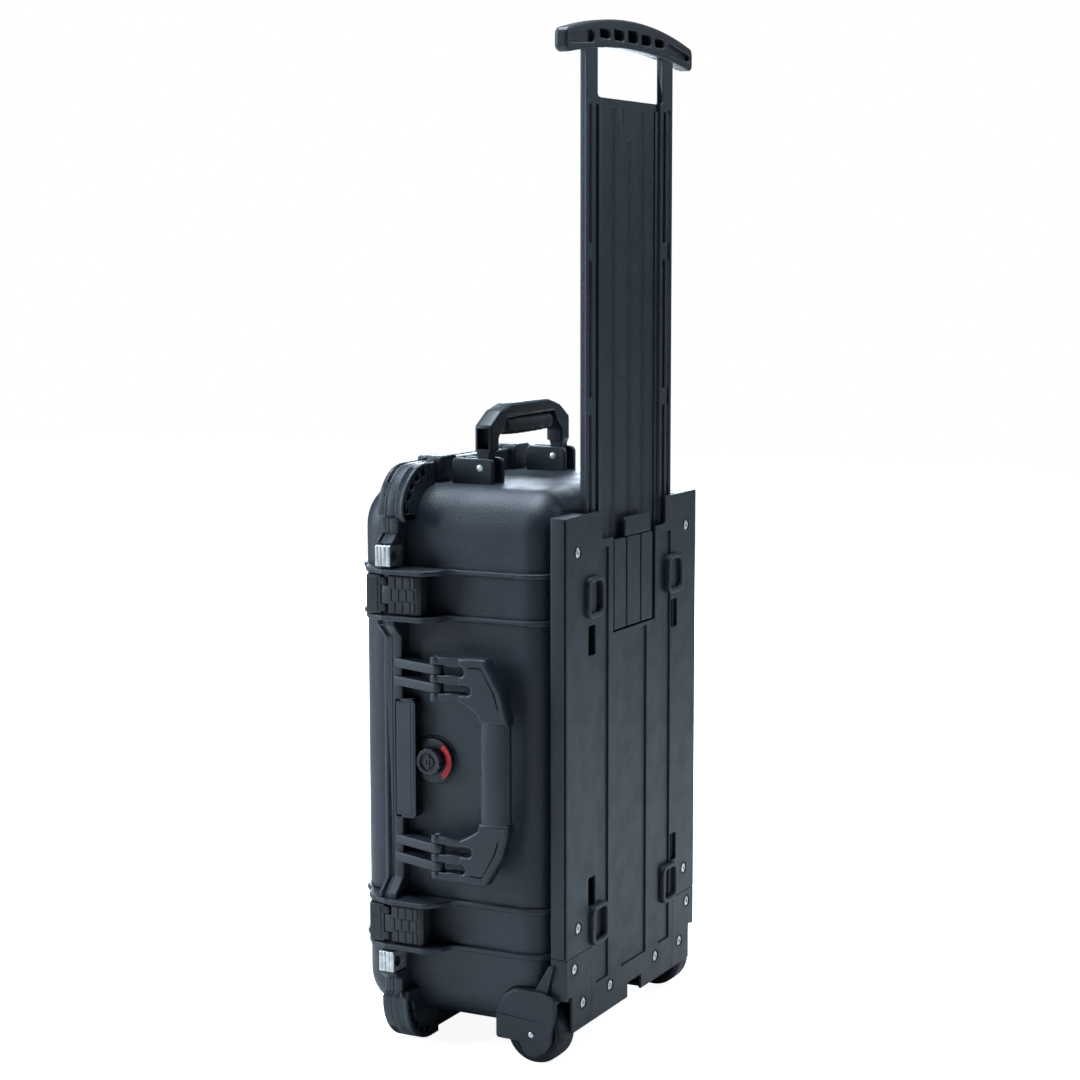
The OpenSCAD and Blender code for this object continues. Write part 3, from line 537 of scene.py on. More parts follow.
def trayShell(sign, depth, c):
    # the section runs from the far face round a quarter turn, along the wall to the open edge and back inside
    # one wall thickness in; each of its points is carried round a rectangle whose corner radius shrinks
    # with its inset
    t = np.linspace(0, math.pi / 2, 9)
    r, w = c["edge"], c["wall"]
    outer = np.stack([r - r * np.sin(t), depth - r + r * np.cos(t)], 1)
    inner = np.stack([r - (r - w) * np.sin(t), depth - r + (r - w) * np.cos(t)], 1)
    lead = np.array([[r + 1.0, depth]])
    edge = np.array([[0, 0.05 * depth], [0, 0.4], [0.4, 0.05], [w - 0.4, 0.05], [w, 0.4]])
    back = np.array([[r + 1.0, depth - w]])
    section = np.vstack([lead, outer, edge, inner[::-1], back])
    a = np.concatenate([np.linspace(q, q + math.pi / 2, 13) for q in np.arange(4) * math.pi / 2])
    halfY, halfZ = c["wide"] / 2 - c["corner"], c["tall"] / 2 - c["corner"]
    side = np.repeat([[1, 1], [-1, 1], [-1, -1], [1, -1]], 13, 0)
    radius = c["corner"] - section[:, :1]
    y = side[:, 0] * halfY + radius * np.cos(a)
    z = side[:, 1] * halfZ + radius * np.sin(a) + c["mid"]
    x = np.repeat(c["part"] + sign * section[:, 1:], len(a), 1)
    return carry(np.stack([x, y, z], -1))


def rimOutline(c):
    # corner points of the upper half, mirrored in z for the lower half, rounded by arcs
    up = [(158, 276, c["rimCorner"]), (-166, 276, c["rimCorner"]), (-166, 231), (-161, 227), (-161, 213.5),
          (-163.5, 213, 1), (-175.5, 203.7, 1.5), (-153, 203.7), (-153, 183), (-150, 183), (-150, 134),
          (-171, 134, 1), (-171, 128, 2), (-157, 115, 3)]
    down = [(y, -z - 4 if z == 276 else -z, *r) for y, z, *r in reversed(up)]
    return roundPath(up + down, step=7)


def rimParts(sign, c):
    # rim flange, then a deeper block at each corner whose outer layer is cored with pockets along the arc
    out = rimOutline(c)
    p, deep = c["part"], c["rimDeep"]
    hole = roundBox(-142, 142, -253, 253, 38)

    def layer(x0, x1, outline, holes, r0, r1):
        # one slab of the rim between two distances from the parting plane
        ends = sorted((p + sign * x0, p + sign * x1))
        rounds = (r0, r1) if sign > 0 else (r1, r0)
        part = slab("x", *ends, outline, holes, *rounds)
        part[0][:, 2] += c["mid"]
        return part

    if sign < 0:
        groove = roundBox(-146.5, 146.5, -257.5, 257.5, 42.5)
        return [layer(3.5, deep, out, [hole], 0, 2.4), layer(0, 3.5, out, [groove], 0.7, 0)]
    parts = [layer(0, deep, out, [hole], 0.7, 1.6)]
    for cy, cz, q in ((-121, 231, 1), (113, 231, 0), (-121, -235, 2), (113, -235, 3)):
        sy, sz = (1 if cy > 0 else -1), (1 if cz > 0 else -1)
        edgeY, edgeZ = cy + 45 * sy, cz + 45 * sz
        block = [(106 * sy, 224 * sz, 4), (edgeY - 4 * sy, 224 * sz, 3), (edgeY, 232 * sz),
                 (edgeY, edgeZ, 45),
                 (106 * sy, edgeZ)]
        holes = []
        for i in range(5):
            t = math.radians(90 * q + 9 + 18 * i)
            u, v = np.array([math.cos(t), math.sin(t)]), np.array([-math.sin(t), math.cos(t)])
            pocket = ((33.5, -4.2), (40.3, -4.8), (40.3, 4.8), (33.5, 4.2))
            holes.append(roundPath([np.array([cy, cz]) + u * a + v * b for a, b in pocket], 1.0, 45))
        parts += [layer(deep - 1, deep + 1, roundPath(block, step=7), [], 0, 0),
                  layer(deep + 1, c["cornerDeep"], roundPath(block, step=7), holes, 0, 1.2)]
    return parts


def hoopParts(sign, depth, c):
    # a rounded rib section carried round the tray in the x-y plane, pushed out along the path's normal
    half, r = c["wide"] / 2, c["edge"]
    far = depth
    t = np.linspace(-math.pi / 2, 0, 10)
    arcX, arcY, nx, ny = far - r + r * np.cos(t), -half + r + r * np.sin(t), np.cos(t), np.sin(t)
    path = np.concatenate([[[0.3, -half, 0, -1]], np.stack([arcX, arcY, nx, ny], 1)])
    path = np.concatenate([path, path[::-1] * [1, -1, 1, -1]])
    s = np.linspace(0, math.pi / 2, 4)
    k = 1.9
    edge = np.stack([1 - k / 4.5 + k / 4.5 * np.sin(s), -c["ribThick"] / 2 + k - k * np.cos(s)], 1)
    section = np.vstack([[[-0.3, -c["ribThick"] / 2]], edge, edge[::-1] * [1, -1],
                         [[-0.3, c["ribThick"] / 2]]])
    faceProud = c["ribProud"] if sign > 0 else c["lidRibProud"]
    reach = c["ribProud"] * np.abs(path[:, 3:]) ** 2 + faceProud * np.abs(path[:, 2:3]) ** 2
    x = path[:, :1] + path[:, 2:3] * reach * section[None, :, 0]
    y = path[:, 1:2] + path[:, 3:] * reach * section[None, :, 0]
    if sign > 0:
        x = np.minimum(x, far - 0.1)
    parts = []
    for z in c["ribs"]:
        grid = np.stack([c["part"] + sign * x, y, np.broadcast_to(c["mid"] + z + section[:, 1], x.shape)], -1)
        parts.append(carry(grid))
    return parts


def guardParts(sign, c):
    # a bracket outline in x-y, extruded along z by one rib thickness at each hoop rib
    p, y = c["part"], c["reach"]
    if sign > 0:
        outline = [(p + 0.1, -140), (p + 0.1, y), (-24, y, 7), (-13, -163.5, 7), (-8, -148.5, 8), (8, -147.6),
                   (8, -140)]
    else:
        outline = [(p - 0.1, -140), (p - 0.1, y), (-84, -170, 9), (-93, -160, 9), (-101.5, -140)]
    loop = roundPath(outline, step=15)
    return [slab("z", c["mid"] + z - 2.5, c["mid"] + z + 2.5, loop, low=1.3, high=1.3) for z in c["ribs"]]


def knuckleParts(first, sign, c):
    # a barrel arc closed by a leaf at the parting plane, extruded for every second knuckle
    p, y, r = c["part"], c["hingeY"], c["knuckle"]
    t = np.radians(np.linspace(-12, 270, 26))
    loop = np.vstack([[[p, 150], [p + 7.3 * sign, 150]],
                      np.stack([p + sign * r * np.cos(t), y + r * np.sin(t)], 1)])
    parts = []
    for i in range(first, 5, 2):
        z = c["mid"] + c["hingeZ"] + (i - 2.5) * 20 + 0.2
        parts.append(slab("z", z, z + 19.6, loop, [ring(p, y, 2.6, 20)], 0.7, 0.7))
    return bothSides(parts, 2, c["mid"])


def cutAway(part, cutters):
    # takes the cutters' room out of a part with exact booleans
    def plain(name, p):
        mesh = bpy.data.meshes.new(name)
        mesh.from_pydata(p[0].tolist(), [], p[1].tolist() + p[2].tolist())
        obj = bpy.data.objects.new(name, mesh)
        bpy.context.scene.collection.objects.link(obj)
        return obj
    blank = plain("blank", part)
    cutters = [plain("cutter", p) for p in cutters]
    for cutter in cutters:
        cut = blank.modifiers.new("cut", "BOOLEAN")
        cut.object, cut.operation, cut.solver = cutter, "DIFFERENCE", "EXACT"
    made = bpy.data.meshes.new_from_object(blank.evaluated_get(bpy.context.evaluated_depsgraph_get()))
    split = bmesh.new()
    split.from_mesh(made)
    bmesh.ops.triangulate(split, faces=split.faces)
    split.to_mesh(made)
    split.free()
    points = np.array([v.co for v in made.vertices], float)
    tris = np.array([list(p.vertices) for p in made.polygons], int)
    for obj in [blank, *cutters]:
        bpy.data.objects.remove(obj)
    return points, np.zeros((0, 4), int), tris


def wellLining():
    # three plates close each wheel well towards the inside; their free corners follow the tray's own rounds
    top = slab("z", 72, 75.5, roundPath([(29.5, 105.5), (88, 105.5), (88, 142, 24), (29.5, 142)]), low=0,
               high=0.8)
    wall = slab("x", 29.5, 33, roundPath([(105.5, 27), (142, 27, 36), (142, 75), (105.5, 75)]), low=0.8,
                high=0)
    cheek = slab("y", 105.5, 109, roundPath([(30, 27), (88, 27, 24), (88, 75), (30, 75)]), low=0.8, high=0)
    return bothSides([top, wall, cheek])


def bossParts(sign, c):
    # rounded rectangle in y-z, extruded from the parting plane
    p = c["part"]
    deep = 16 if sign > 0 else 9.6
    outline = roundPath([(60, 538), (92, 538), (92, 560, 4), (60, 560, 4)])
    ends = sorted((p + sign * 0.1, p + sign * deep))
    return bothSides([slab("x", *ends, outline, low=1.5, high=1.5)])


def frontArms(c):
    # a tapered web from the rim to each lug of the carry handle
    pivot = (-12.0, -169.0)
    t = np.radians(np.linspace(262, 450, 16))
    lug = np.stack([pivot[0] + 6.4 * np.cos(t), pivot[1] + 6.4 * np.sin(t)], 1)
    loop = np.vstack([[[c["part"] + 2, -141], [c["part"] + 2, -157.5]], lug])
    parts = [slab("z", 278 + z - 4.5, 278 + z + 4.5, loop, low=1.1, high=1.1) for z in (76, 93)]
    return bothSides(parts, 2, 278)


def topBracket():
    # rounded plate in x-z, extruded along y once for each ear
    plate = roundPath([(-39.5, 528), (3.5, 528), (3.5, 559, 6), (-39.5, 559, 4)])
    return bothSides([slab("y", y, y + 6, plate, low=1.1, high=1.1) for y in (63, 83)])


def baseDetails(c):
    # nameplate seat and its raised frame as slabs, and the valve's flange turned about its axis
    seat = roundPath([(-64.5, 223), (-42.5, 223, 5), (-42.5, 337, 5), (-64.5, 337)])
    recess = roundBox(-63.5, -44.5, 226, 334, 2.5)
    flange = [(11.2, -139), (24.5, -139), (24.2, -143.8), (23, -145), (11.2, -145), (11.2, -139)]
    return [slab("y", -155.8, -141, seat, low=0, high=0), slab("y", -157, -155.8, seat, [recess], 0.6, 0),
            lathe("y", (-28.5, 279), flange, 48)]


wheelRoom = bothSides([slab("y", 109, 170, roundPath([(37, 10), (37, 47.5, 23), (51.5, 73, 21), (120, 73),
                                                      (120, 10)]),
                            low=0, high=0)])
baseParts = [cutAway(trayShell(1, case["baseDeep"], case), wheelRoom)] + rimParts(1, case) \
    + hoopParts(1, case["baseDeep"], case) + guardParts(1, case) + knuckleParts(0, 1, case) + wellLining() \
    + bossParts(1, case) + frontArms(case) + topBracket() + baseDetails(case)
addPiece("baseShell", baseParts, "caseShell", "base", ["base_shell"])
lidParts = [trayShell(-1, case["lidDeep"], case)] + rimParts(-1, case) + hoopParts(-1, case["lidDeep"],
                                                                                   case) \
    + guardParts(-1, case) + knuckleParts(1, -1, case) + bossParts(-1, case)
addPiece("lidShell", lidParts, "caseShell", "lid", ["lid_shell"])
print("case shells made")


# pull-handle panel
panel = {
    "back": 107.5, "face": 110.5, "floor": 108.8, "loopTop": 114.5, "half": 145.5,
    "screws": ((122, 480.5), (121, 128), (52, 54)), "cornerScrews": ((129, 91), (111, 54)),
    "sideBand": (57.5, 83.9, 65.0, 479.8), "midBand": (-28.5, 28.2, 65.5, 393.0),
    "slots": ((85.7, 100.5, 381.5, 409.5), (85.7, 100.5, 142.5, 170.5)), "loops": ((90, 436), (80, 123)),
}


def flipY(loop):
    # mirror a y-z outline: y becomes -y
    return np.asarray(loop) * [-1, 1]


# section of the panel's folded edge, shared with the housings
flange = roundPath([(93.5, 141.5), (110.45, 141.5), (110.45, 145.5, 1.2), (93.5, 145.5, 1.2)])


def cupHoles(screws):
    # one circle of points round each screw
    return [ring(y, z, 6.3, 24) for y, z in screws]


def screwCups(screws, q):
    # a cup profile turned about each screw's axis, with a thin raised collar round its mouth
    f = q["face"]
    cup = [(7.4, 91), (7.4, f + 0.1), (7.0, f + 0.5), (6.0, f + 0.5), (5.6, f + 0.1), (5.6, f - 4),
           (2.1, f - 4),
           (2.1, 91), (7.4, 91)]
    return [lathe("x", p, cup, 32) for p in screws]


def panelParts(q):
    # the outline extruded in two layers; bands are holes in the outer layer only, slots go through both
    f = q["face"]
    right = [(22, 30.5), (92.6, 30.5, 1), (92.6, 103.3), (145.5, 103.3, 1), (145.5, 514, 2), (71.5, 514, 1.5),
             (71.5, 487, 3), (47.5, 487), (47.5, 396)]
    left = [(-y, z, *r) for y, z, *r in reversed(right)]
    outline = roundPath([(-13, 30.5), (-13, 45), (18, 45), (18, 30.5)] + right[1:] + left[:-1])
    slots = [roundBox(*s, 1.2) for s in q["slots"]]
    slots += [flipY(s) for s in slots]
    cups = cupHoles(q["screws"])
    cups += [flipY(c) for c in cups]
    side = roundBox(*q["sideBand"], 1.5)
    bands = [side, flipY(side), roundBox(*q["midBand"], 1.5)]
    parts = [slab("x", q["back"], q["floor"], outline, slots + cups, 0.3, 0),
             slab("x", q["floor"] - 0.05, f, outline, slots + cups + bands, 0, 0.4)]
    extra = [slab("z", 103.3, 513.9, flange, low=0.5, high=0.9), box(93.5, 109.9, 101, 143, 510, 513.9, 0.8),
             box(93.5, 109.9, 22, 92.4, 30.6, 33.5, 0.6)]
    for y, z in q["loops"]:
        extra.append(slab("x", q["back"] + 0.4, q["loopTop"],
                          roundBox(y - 17.5, y + 17.5, z - 19.5, z + 19.5, 9),
                          [roundBox(y - 12.5, y + 12.5, z - 14.5, z + 14.5, 5)], 0, 1.4))
    extra += screwCups(q["screws"], q)
    return parts + bothSides(extra)


def coverParts(q):
    # three raised pads on a sunk plate, one slab each
    f = q["face"]
    parts = [slab("x", f - 5, f - 3.2, roundBox(-45.5, 45.5, 398, 483.5, 1.5), low=0.4, high=0)]
    parts += [slab("x", f - 3.6, f, roundBox(a, b, 398, 483.5, 1.5), low=0, high=1.0)
              for a, b in ((-45.5, -19.2), (-16.8, 12.8), (15.2, 41))]
    return parts


addPiece("pullPanel", panelParts(panel), "panelPlastic", "base", ["trolley_panel"])
addPiece("coverPads", coverParts(panel), "panelPlastic", "base", ["trolley_cover"])
tab = {"wide": (-20, 37), "tall": (484.3, 502.5), "x": (106.0, 110.0)}
(y0, y1), (z0, z1) = tab["wide"], tab["tall"]
tabParts = [slab("x", *tab["x"], roundPath([(y0, z0), (y1, z0), (y1, z1, 5), (y0, z1, 5)]), low=0.5,
                 high=1.3),
            box(104.6, 105.4, -12, 28, 440, 490, 0.2), box(104.6, 106.6, -12, 28, 485, 490, 0.2)]
addPiece("releaseTab", tabParts, "panelPlastic", "release", ["release_tab"])


# wheel housings
wheel = {"x": 76.5, "z": 30.0, "radius": 30.0, "inner": 119.0, "outer": 145.0, "cheek": (147.0, 152.4)}


def arc(cx, cz, r, a0, a1, count):
    # centre plus r times (cos t, sin t) from a0 to a1 degrees
    t = np.radians(np.linspace(a0, a1, count))
    return np.stack([cx + r * np.cos(t), cz + r * np.sin(t)], 1)


def housingParts(w, q):
    # plates whose outlines join rounded hoods to arcs about the axle, extruded along y or x
    hood = roundPath([(39.5, 21.6, 3), (39.5, 47, 22), (53, 71.6, 20), (86, 71.6, 12), (101, 67, 3),
                      (101.5, 52, 8),
                      (97.4, 33)], step=8)
    cheek = np.vstack([hood, arc(w["x"], w["z"], 21, 5, -112, 14), [[64, 21.8]]])
    step = roundPath([(40.6, 46.2), (99.8, 41.4), (100.2, 66, 3), (86, 70.4, 12), (54, 70.4, 20),
                      (40.6, 48, 20)])
    axleHole = [ring(w["x"], w["z"], 3.2, 24)]
    crown = roundPath([(39.6, 50), (39.6, 51, 0), (44, 61, 14), (56, 71.4, 16), (86, 71.4, 12),
                       (100.9, 66.9, 1),
                       (100.9, 60.5)], step=8)
    arch = np.vstack([crown, arc(w["x"], w["z"], 33.2, 64, 143, 14), [[46, 50]]])
    face = roundPath([(92.9, 30.5, 1), (133.8, 30.5, 1), (133.8, 66, 3), (145.4, 66, 1), (145.4, 103, 1),
                      (92.9, 103, 1)])
    cups = cupHoles(q["cornerScrews"])
    gusset = [(76, 68), (91, 68), (98.5, 97), (93.5, 97)]
    return [slab("y", *w["cheek"], cheek, axleHole, 0.6, 1.0),
            slab("y", w["cheek"][1] - 1, 153, step, low=0, high=0.5),
            slab("y", 112, 148, arch, low=0.3, high=0.3), slab("y", 110, 116, cheek, axleHole, 0.6, 0.6),
            slab("x", q["back"], q["face"], face, cups, 0.3, 0.5),
            slab("z", 64, 103, flange, low=0.5, high=0.5),
            slab("y", 145.6, 148.6, np.array(gusset, float), low=0.4,
                 high=0.8)] + screwCups(q["cornerScrews"], q)


def tyreParts(w):
    # closed section of the tyre turned about the axle: crowned tread, round shoulders, a shallow ring on
    # each side
    y0, y1 = w["inner"], w["outer"]
    half, mid = (y1 - y0) / 2, (y0 + y1) / 2
    s = np.linspace(-1, 1, 13)
    drop = 0.35 * s ** 2 + 4.2 * np.maximum(np.abs(s) - 0.72, 0) ** 2 / 0.078 * 0.9
    tread = np.stack([w["radius"] - drop, mid + half * np.sign(s) * np.abs(s) ** 0.9], 1)
    profile = np.vstack([[[23.05, y0 + 0.6], [25, y0 + 0.5], [25.3, y0 + 1.0], [26.3, y0 + 1.0]], tread,
                         [[26.3, y1 - 1.0], [25.3, y1 - 1.0], [25, y1 - 0.5], [23.05, y1 - 0.6],
                          [23.05, y0 + 0.6]]])
    return [lathe("y", (w["x"], w["z"]), profile, 64)]


def axleParts(w):
    # stepped pin profile turned about the axle line
    profile = [(0, 110.5), (3.4, 110.5), (4, 111), (4, 150), (2.7, 150.4), (2.7, 152.9), (2.3, 153.2),
               (0, 153.3)]
    return bothSides([lathe("y", (w["x"], w["z"]), profile, 28)])


for name, node, make in (("wheelHousing", "corner_housing", housingParts), ("tyre", "wheel_tyre", tyreParts)):
    for word, turn in (("Right", lambda p: p), ("Left", lambda p: [mirrored(x, 1) for x in p])):
        made = turn(make(wheel, panel) if make is housingParts else make(wheel))
        body = "base" if make is housingParts else "wheel_" + word.lower()
        finish = "panelPlastic" if make is housingParts else "tyreRubber"
        addPiece(name + word, made, finish, body, [f"{node}_{word.lower()}"])
addPiece("axleEnds", axleParts(wheel), "stainless", "base", ["wheel_axles"])


# screws
screw = {"head": 5.0, "socket": 2.1, "lobes": 6}


def screwParts(q, s):
    # the socket's radius waves six times round, so the recess is a star
    f = q["face"]

    def wave(radius, height, t):
        inside = (radius < s["socket"] + 0.2) & (radius > 0) & (height > f - 5)
        return np.where(inside, radius * (1 + 0.16 * np.cos(s["lobes"] * t)), radius)
    profile = [(0, 88), (2, 88), (2, f - 4.1), (4.6, f - 4), (s["head"], f - 3.4), (s["head"], f - 1.1),
               (4.7, f - 0.5),
               (4.0, f - 0.15), (s["socket"] + 0.35, f - 0.05), (s["socket"], f - 0.4),
               (s["socket"], f - 3.0),
               (0, f - 3.1)]
    spots = list(q["screws"]) + list(q["cornerScrews"])
    return bothSides([lathe("x", p, profile, 36, wave) for p in spots])


addPiece("panelScrews", screwParts(panel, screw), "screwSteel", "base", ["panel_screws"])
print("panel, housings, wheels and screws made")


# pull handle
pull = {
    "back": 98.5, "plate": 102.0, "rail": 105.5, "low": 450.0, "top": 893.0, "half": 94.5, "railIn": 66.5,
    "slotY": (84.2, 89.7), "slotZ": ((761, 886), (620, 745), (479, 604)), "darkY": (69.8, 75.6),
    "postIn": 72.0,
    "flutes": ((1.5, 17, 857), (32.5, 14, 886), (-32.5, 14, 886)), "fluteDeep": 1.7, "notchY": -15.0,
    "gripHalf": 138.0, "outer": (965.5, 590.0), "under": (939.5, 800.0), "windows": (-60, -30, 0, 30, 60),
}


def archLine(s, y):
    # height of a shallow arc, (its crown, its radius), at y
    return s[0] - (s[1] - np.sqrt(s[1] ** 2 - np.asarray(y, float) ** 2))


def plateRelief(q):
    # front face x(y, z) = plate - fluteDeep * sum of cos^2 flutes - a wedge notch that fades downwards
    y = np.unique(np.concatenate([np.linspace(-66.6, 66.6, 90), np.linspace(-26, -4, 30)]))
    z = np.unique(np.concatenate([np.linspace(482, 850, 8), np.linspace(850, 887.5, 30), [893]]))
    zz, yy = np.meshgrid(z, y, indexing="ij")
    x = np.full_like(yy, q["plate"])
    for mid, wide, top in q["flutes"]:
        across = np.cos(math.pi / 2 * np.clip((yy - mid) / (wide / 2), -1, 1)) ** 2
        x -= q["fluteDeep"] * across * np.clip((top - zz) / 1.2, 0, 1)
    fade = np.clip((zz - 846) / 40, 0, 1)
    wedge = np.clip(1 - np.abs(yy - q["notchY"]) / (0.3 + 7 * fade), 0, 1)
    x -= 1.9 * fade * np.sqrt(wedge) * (zz < 886)
    front = np.stack([x, yy, zz], -1)
    back = front.copy()
    back[..., 0] = q["back"]
    # each row becomes one ring: along the front, and home along the back
    return carry(np.concatenate([front, back[:, ::-1]], 1))


def railOutline(q):
    # straight sides that end on the grip's under arc
    y = np.linspace(q["half"], q["postIn"], 8)
    under = np.stack([y, archLine(q["under"], y) + 0.3], 1)
    inner = roundPath([(q["half"], q["low"]), (q["half"], 940), (q["postIn"], 940), (q["postIn"], 893.0, 4),
                       (q["railIn"], 893.0, 0), (q["railIn"], q["low"])])
    keep = inner[inner[:, 1] < 939]
    first = keep[:1]
    return np.vstack([first, under, keep[1:]])


def pullParts(q):
    # side rails as two stacked slabs with slots, beside the fluted plate
    slots = [roundBox(*q["slotY"], *z, 0.6) for z in q["slotZ"]]
    dark = roundBox(*q["darkY"], 462, 886, 0.6)
    grooves = [roundBox(73.2, 78.8, z0, z1, 0.6) for z0, z1 in q["slotZ"]]
    shade = roundBox(*q["slotY"], 462, 888, 0.6)
    outline = railOutline(q)
    right = slab("x", q["back"] + 3, q["rail"], outline, [shade] + grooves, 0, 0.5)
    rightLow = slab("x", q["back"], q["back"] + 3, outline, slots, 0.6, 0)
    left = slab("x", q["back"] + 3, q["rail"], flipY(outline), [flipY(s) for s in slots] + [flipY(dark)], 0,
                0.5)
    leftLow = slab("x", q["back"], q["back"] + 3, flipY(outline), [flipY(s) for s in slots], 0.6, 0)
    lip = [box(q["back"], q["plate"] + 1.2, y0, y1, 482, 886, 0.5) for y0, y1 in ((59.5, 67), (-67, -59.5))]
    feet = [box(q["back"], q["plate"], -43, 43, 450, 482.1, 0.3)]
    feet += bothSides([box(q["back"], q["plate"], 61, 67, 450, 482.1, 0.3)])
    return [plateRelief(q), right, rightLow, left, leftLow] + lip + feet


def gripOutline(q, half, shrink=0.0):
    # outer arc one way, under arc back, with rounded ends
    y = np.linspace(-half, half, 61)
    up = np.stack([y, archLine(q["outer"], y) - shrink], 1)
    down = np.stack([y[::-1], archLine(q["under"], y[::-1]) + shrink], 1)
    corners = [(*up[0], 7)] + [tuple(p) for p in up[2:-2]] + [(*up[-1], 7), (*down[0], 6)] \
        + [tuple(p) for p in down[2:-2]] + [(*down[-1], 6)]
    return roundPath(corners, 0, 14)


def gripParts(q):
    # the arched outline extruded in three layers: solid back, windows, then windows and side recesses
    out = gripOutline(q, q["gripHalf"])
    holes = [roundBox(y - 10, y + 10, 946, 957 - abs(y) / 20, 2.6) for y in q["windows"]]
    side = roundPath([(83, 941, 3), (131, 937.5, 4), (131, 943.5, 4), (83, 952, 3)])
    sides = [side, flipY(side)]
    return [slab("x", 95, 98, out, [], 2.4, 0), slab("x", 97.97, 103, out, holes, 0, 0),
            slab("x", 102.97, 107, out, holes + sides, 0, 1.5)]


addPiece("pullPlate", pullParts(pull), "caseShell", "trolley", ["trolley_plate"])
addPiece("pullGrip", gripParts(pull), "handlePlastic", "trolley", ["trolley_grip"])
addPiece("pullGripBack", [slab("x", 93, 94.9, gripOutline(pull, 135, 0.6), low=1.2, high=0)], "handlePlastic",
         "trolley", ["trolley_grip_back"])
print("pull handle made")


# front carry handle
carryHandle = {
    "mid": 278.0, "pivot": (-12.0, -169.0), "barrel": 6.4, "face": -175.5, "back": -161.0,
    "fingers": ((63.0, 71.2), (80.8, 88.2), (97.8, 105.0)), "gripHalf": 48.6, "gripCentre": (49.2, -168.0),
    "gripSize": (15.3, 7.4), "ridge": 0.9, "ridgePitch": 12.0,
}


def superRing(cx, cy, a, b, power, count=44):
    # superellipse |x/a|^p + |y/b|^p = 1 for arrays a and b, one ring per entry
    t = np.linspace(0, math.tau, count, endpoint=False)
    c, s = np.cos(t), np.sin(t)
    return (cx + a[:, None] * np.sign(c) * np.abs(c) ** (2 / power),
            cy + b[:, None] * np.sign(s) * np.abs(s) ** (2 / power))


def frontFrameParts(h):
    # finger outlines and the shoulder extruded along y, barrels turned about the pin, then mirrored in z
    loops = [[(16, 66), (-12, 63), (-12, 71.2), (-0.5, 71.2), (-0.5, 72), (16, 72)],
             [(16, 80), (-0.5, 80), (-0.5, 80.8), (-12, 80.8), (-12, 88.2), (-0.5, 88.2), (-0.5, 89),
              (16, 89)],
             [(16, 97), (-0.5, 97), (-0.5, 97.8), (-12, 97.8), (-12, 105), (16, 105.8)]]
    body = roundPath([(13, 65.2), (13, 72), (26, 72, 3.9), (26, 80, 3.9), (13, 80), (13, 89), (19, 89, 3.9),
                      (19, 97, 3.9), (13, 97), (13, 105.6), (22, 106, 2), (41, 106.3, 5), (58.5, 77, 8),
                      (64.5, 53, 12), (64.5, 46.5), (34.6, 46.5), (33, 54, 4), (22, 61, 6)], step=10)
    parts = [slab("y", h["face"] + 1.2, h["back"], np.array(loop, float), low=1.1,
                  high=1.0) for loop in loops]
    parts += [slab("y", h["face"], h["back"] + 0.6, body, low=2.8, high=2.0, steps=4)]
    for z0, z1 in h["fingers"]:
        r = h["barrel"]
        parts.append(lathe("z", h["pivot"], [(2.3, z0), (r - 1, z0), (r - 0.3, z0 + 0.3), (r, z0 + 1),
                                             (r, z1 - 1),
                                             (r - 0.3, z1 - 0.3), (r - 1, z1), (2.3, z1), (2.3, z0)], 32))
    # a low rib along the outer shoulder
    rib = roundPath([(24, 99), (38, 99.5, 3), (53, 74, 5), (57, 60, 4), (54, 60, 3), (50, 73, 5),
                     (37, 96.5, 3),
                     (24, 96)])
    parts.append(slab("y", h["face"], h["face"] + 1.5, rib, low=0.9, high=0))
    core = slab("z", -50, 50, roundBox(42, 57, -171.5, -164.5, 2.5), low=0.3, high=0.3)
    parts = bothSides(parts, 2) + [core]
    for p in parts:
        p[0][:, 2] += h["mid"]
    return parts


def frontGripParts(h):
    # rings along z; the inner edge swells between the fingers, and both ends draw in
    z = np.linspace(-h["gripHalf"], h["gripHalf"], 121)
    ends = np.clip((h["gripHalf"] - np.abs(z)) / 1.6, 0, 1)
    shrink = np.sqrt(1 - (1 - ends) ** 2)
    a = h["gripSize"][0] * (0.90 + 0.10 * shrink)
    b = h["gripSize"][1] * (0.80 + 0.20 * shrink)
    x, y = superRing(h["gripCentre"][0], h["gripCentre"][1], a, b, 2.5)
    inner = np.clip((h["gripCentre"][0] - x) / h["gripSize"][0], 0, 1) ** 2
    wave = 0.5 - 0.5 * np.cos(math.tau * z / h["ridgePitch"])
    x -= inner * (h["ridge"] * wave * (np.abs(z) < 42) - 0.4)[:, None]
    ticks = np.exp(-((np.mod(z + 6, 12) - 6) / 0.5) ** 2) * (np.abs(z) < 43)
    y += np.sign(y - h["gripCentre"][1]) * -0.5 * inner * ticks[:, None]
    return [carry(np.stack([x, y, np.broadcast_to(z[:, None] + h["mid"], x.shape)], -1))]


addPiece("frontHandle", frontFrameParts(carryHandle), "handlePlastic", "front_handle", ["front_handle_frame"])
addPiece("frontHandleGrip", frontGripParts(carryHandle), "handlePlastic", "front_handle",
         ["front_handle_grip"])


def pinParts(axis, centre, spans, r):
    # a plain pin with a low domed head at each end of its span
    parts = []
    for lo, hi in spans:
        profile = [(0, lo - 0.5), (r * 0.9, lo - 0.5), (r * 1.45, lo), (r * 1.5, lo + 0.6), (r, lo + 0.8),
                   (r, hi - 0.8), (r * 1.5, hi - 0.6), (r * 1.45, hi), (r * 0.9, hi + 0.5), (0, hi + 0.5)]
        parts.append(lathe(axis, centre, profile, 28))
    return parts


addPiece("frontHandlePins", pinParts("z", carryHandle["pivot"], ((341.6, 382.4), (173.6, 214.4)), 2.2),
         "screwSteel",
         "base", ["front_handle_pins"])


# top carry handle
topHandle = {"x": -9.5, "halfX": 9.0, "pivotZ": 550.0, "barrel": 6.5, "tang": (69.4, 82.6),
             "grip": (586.5, 8.6, 8.4)}


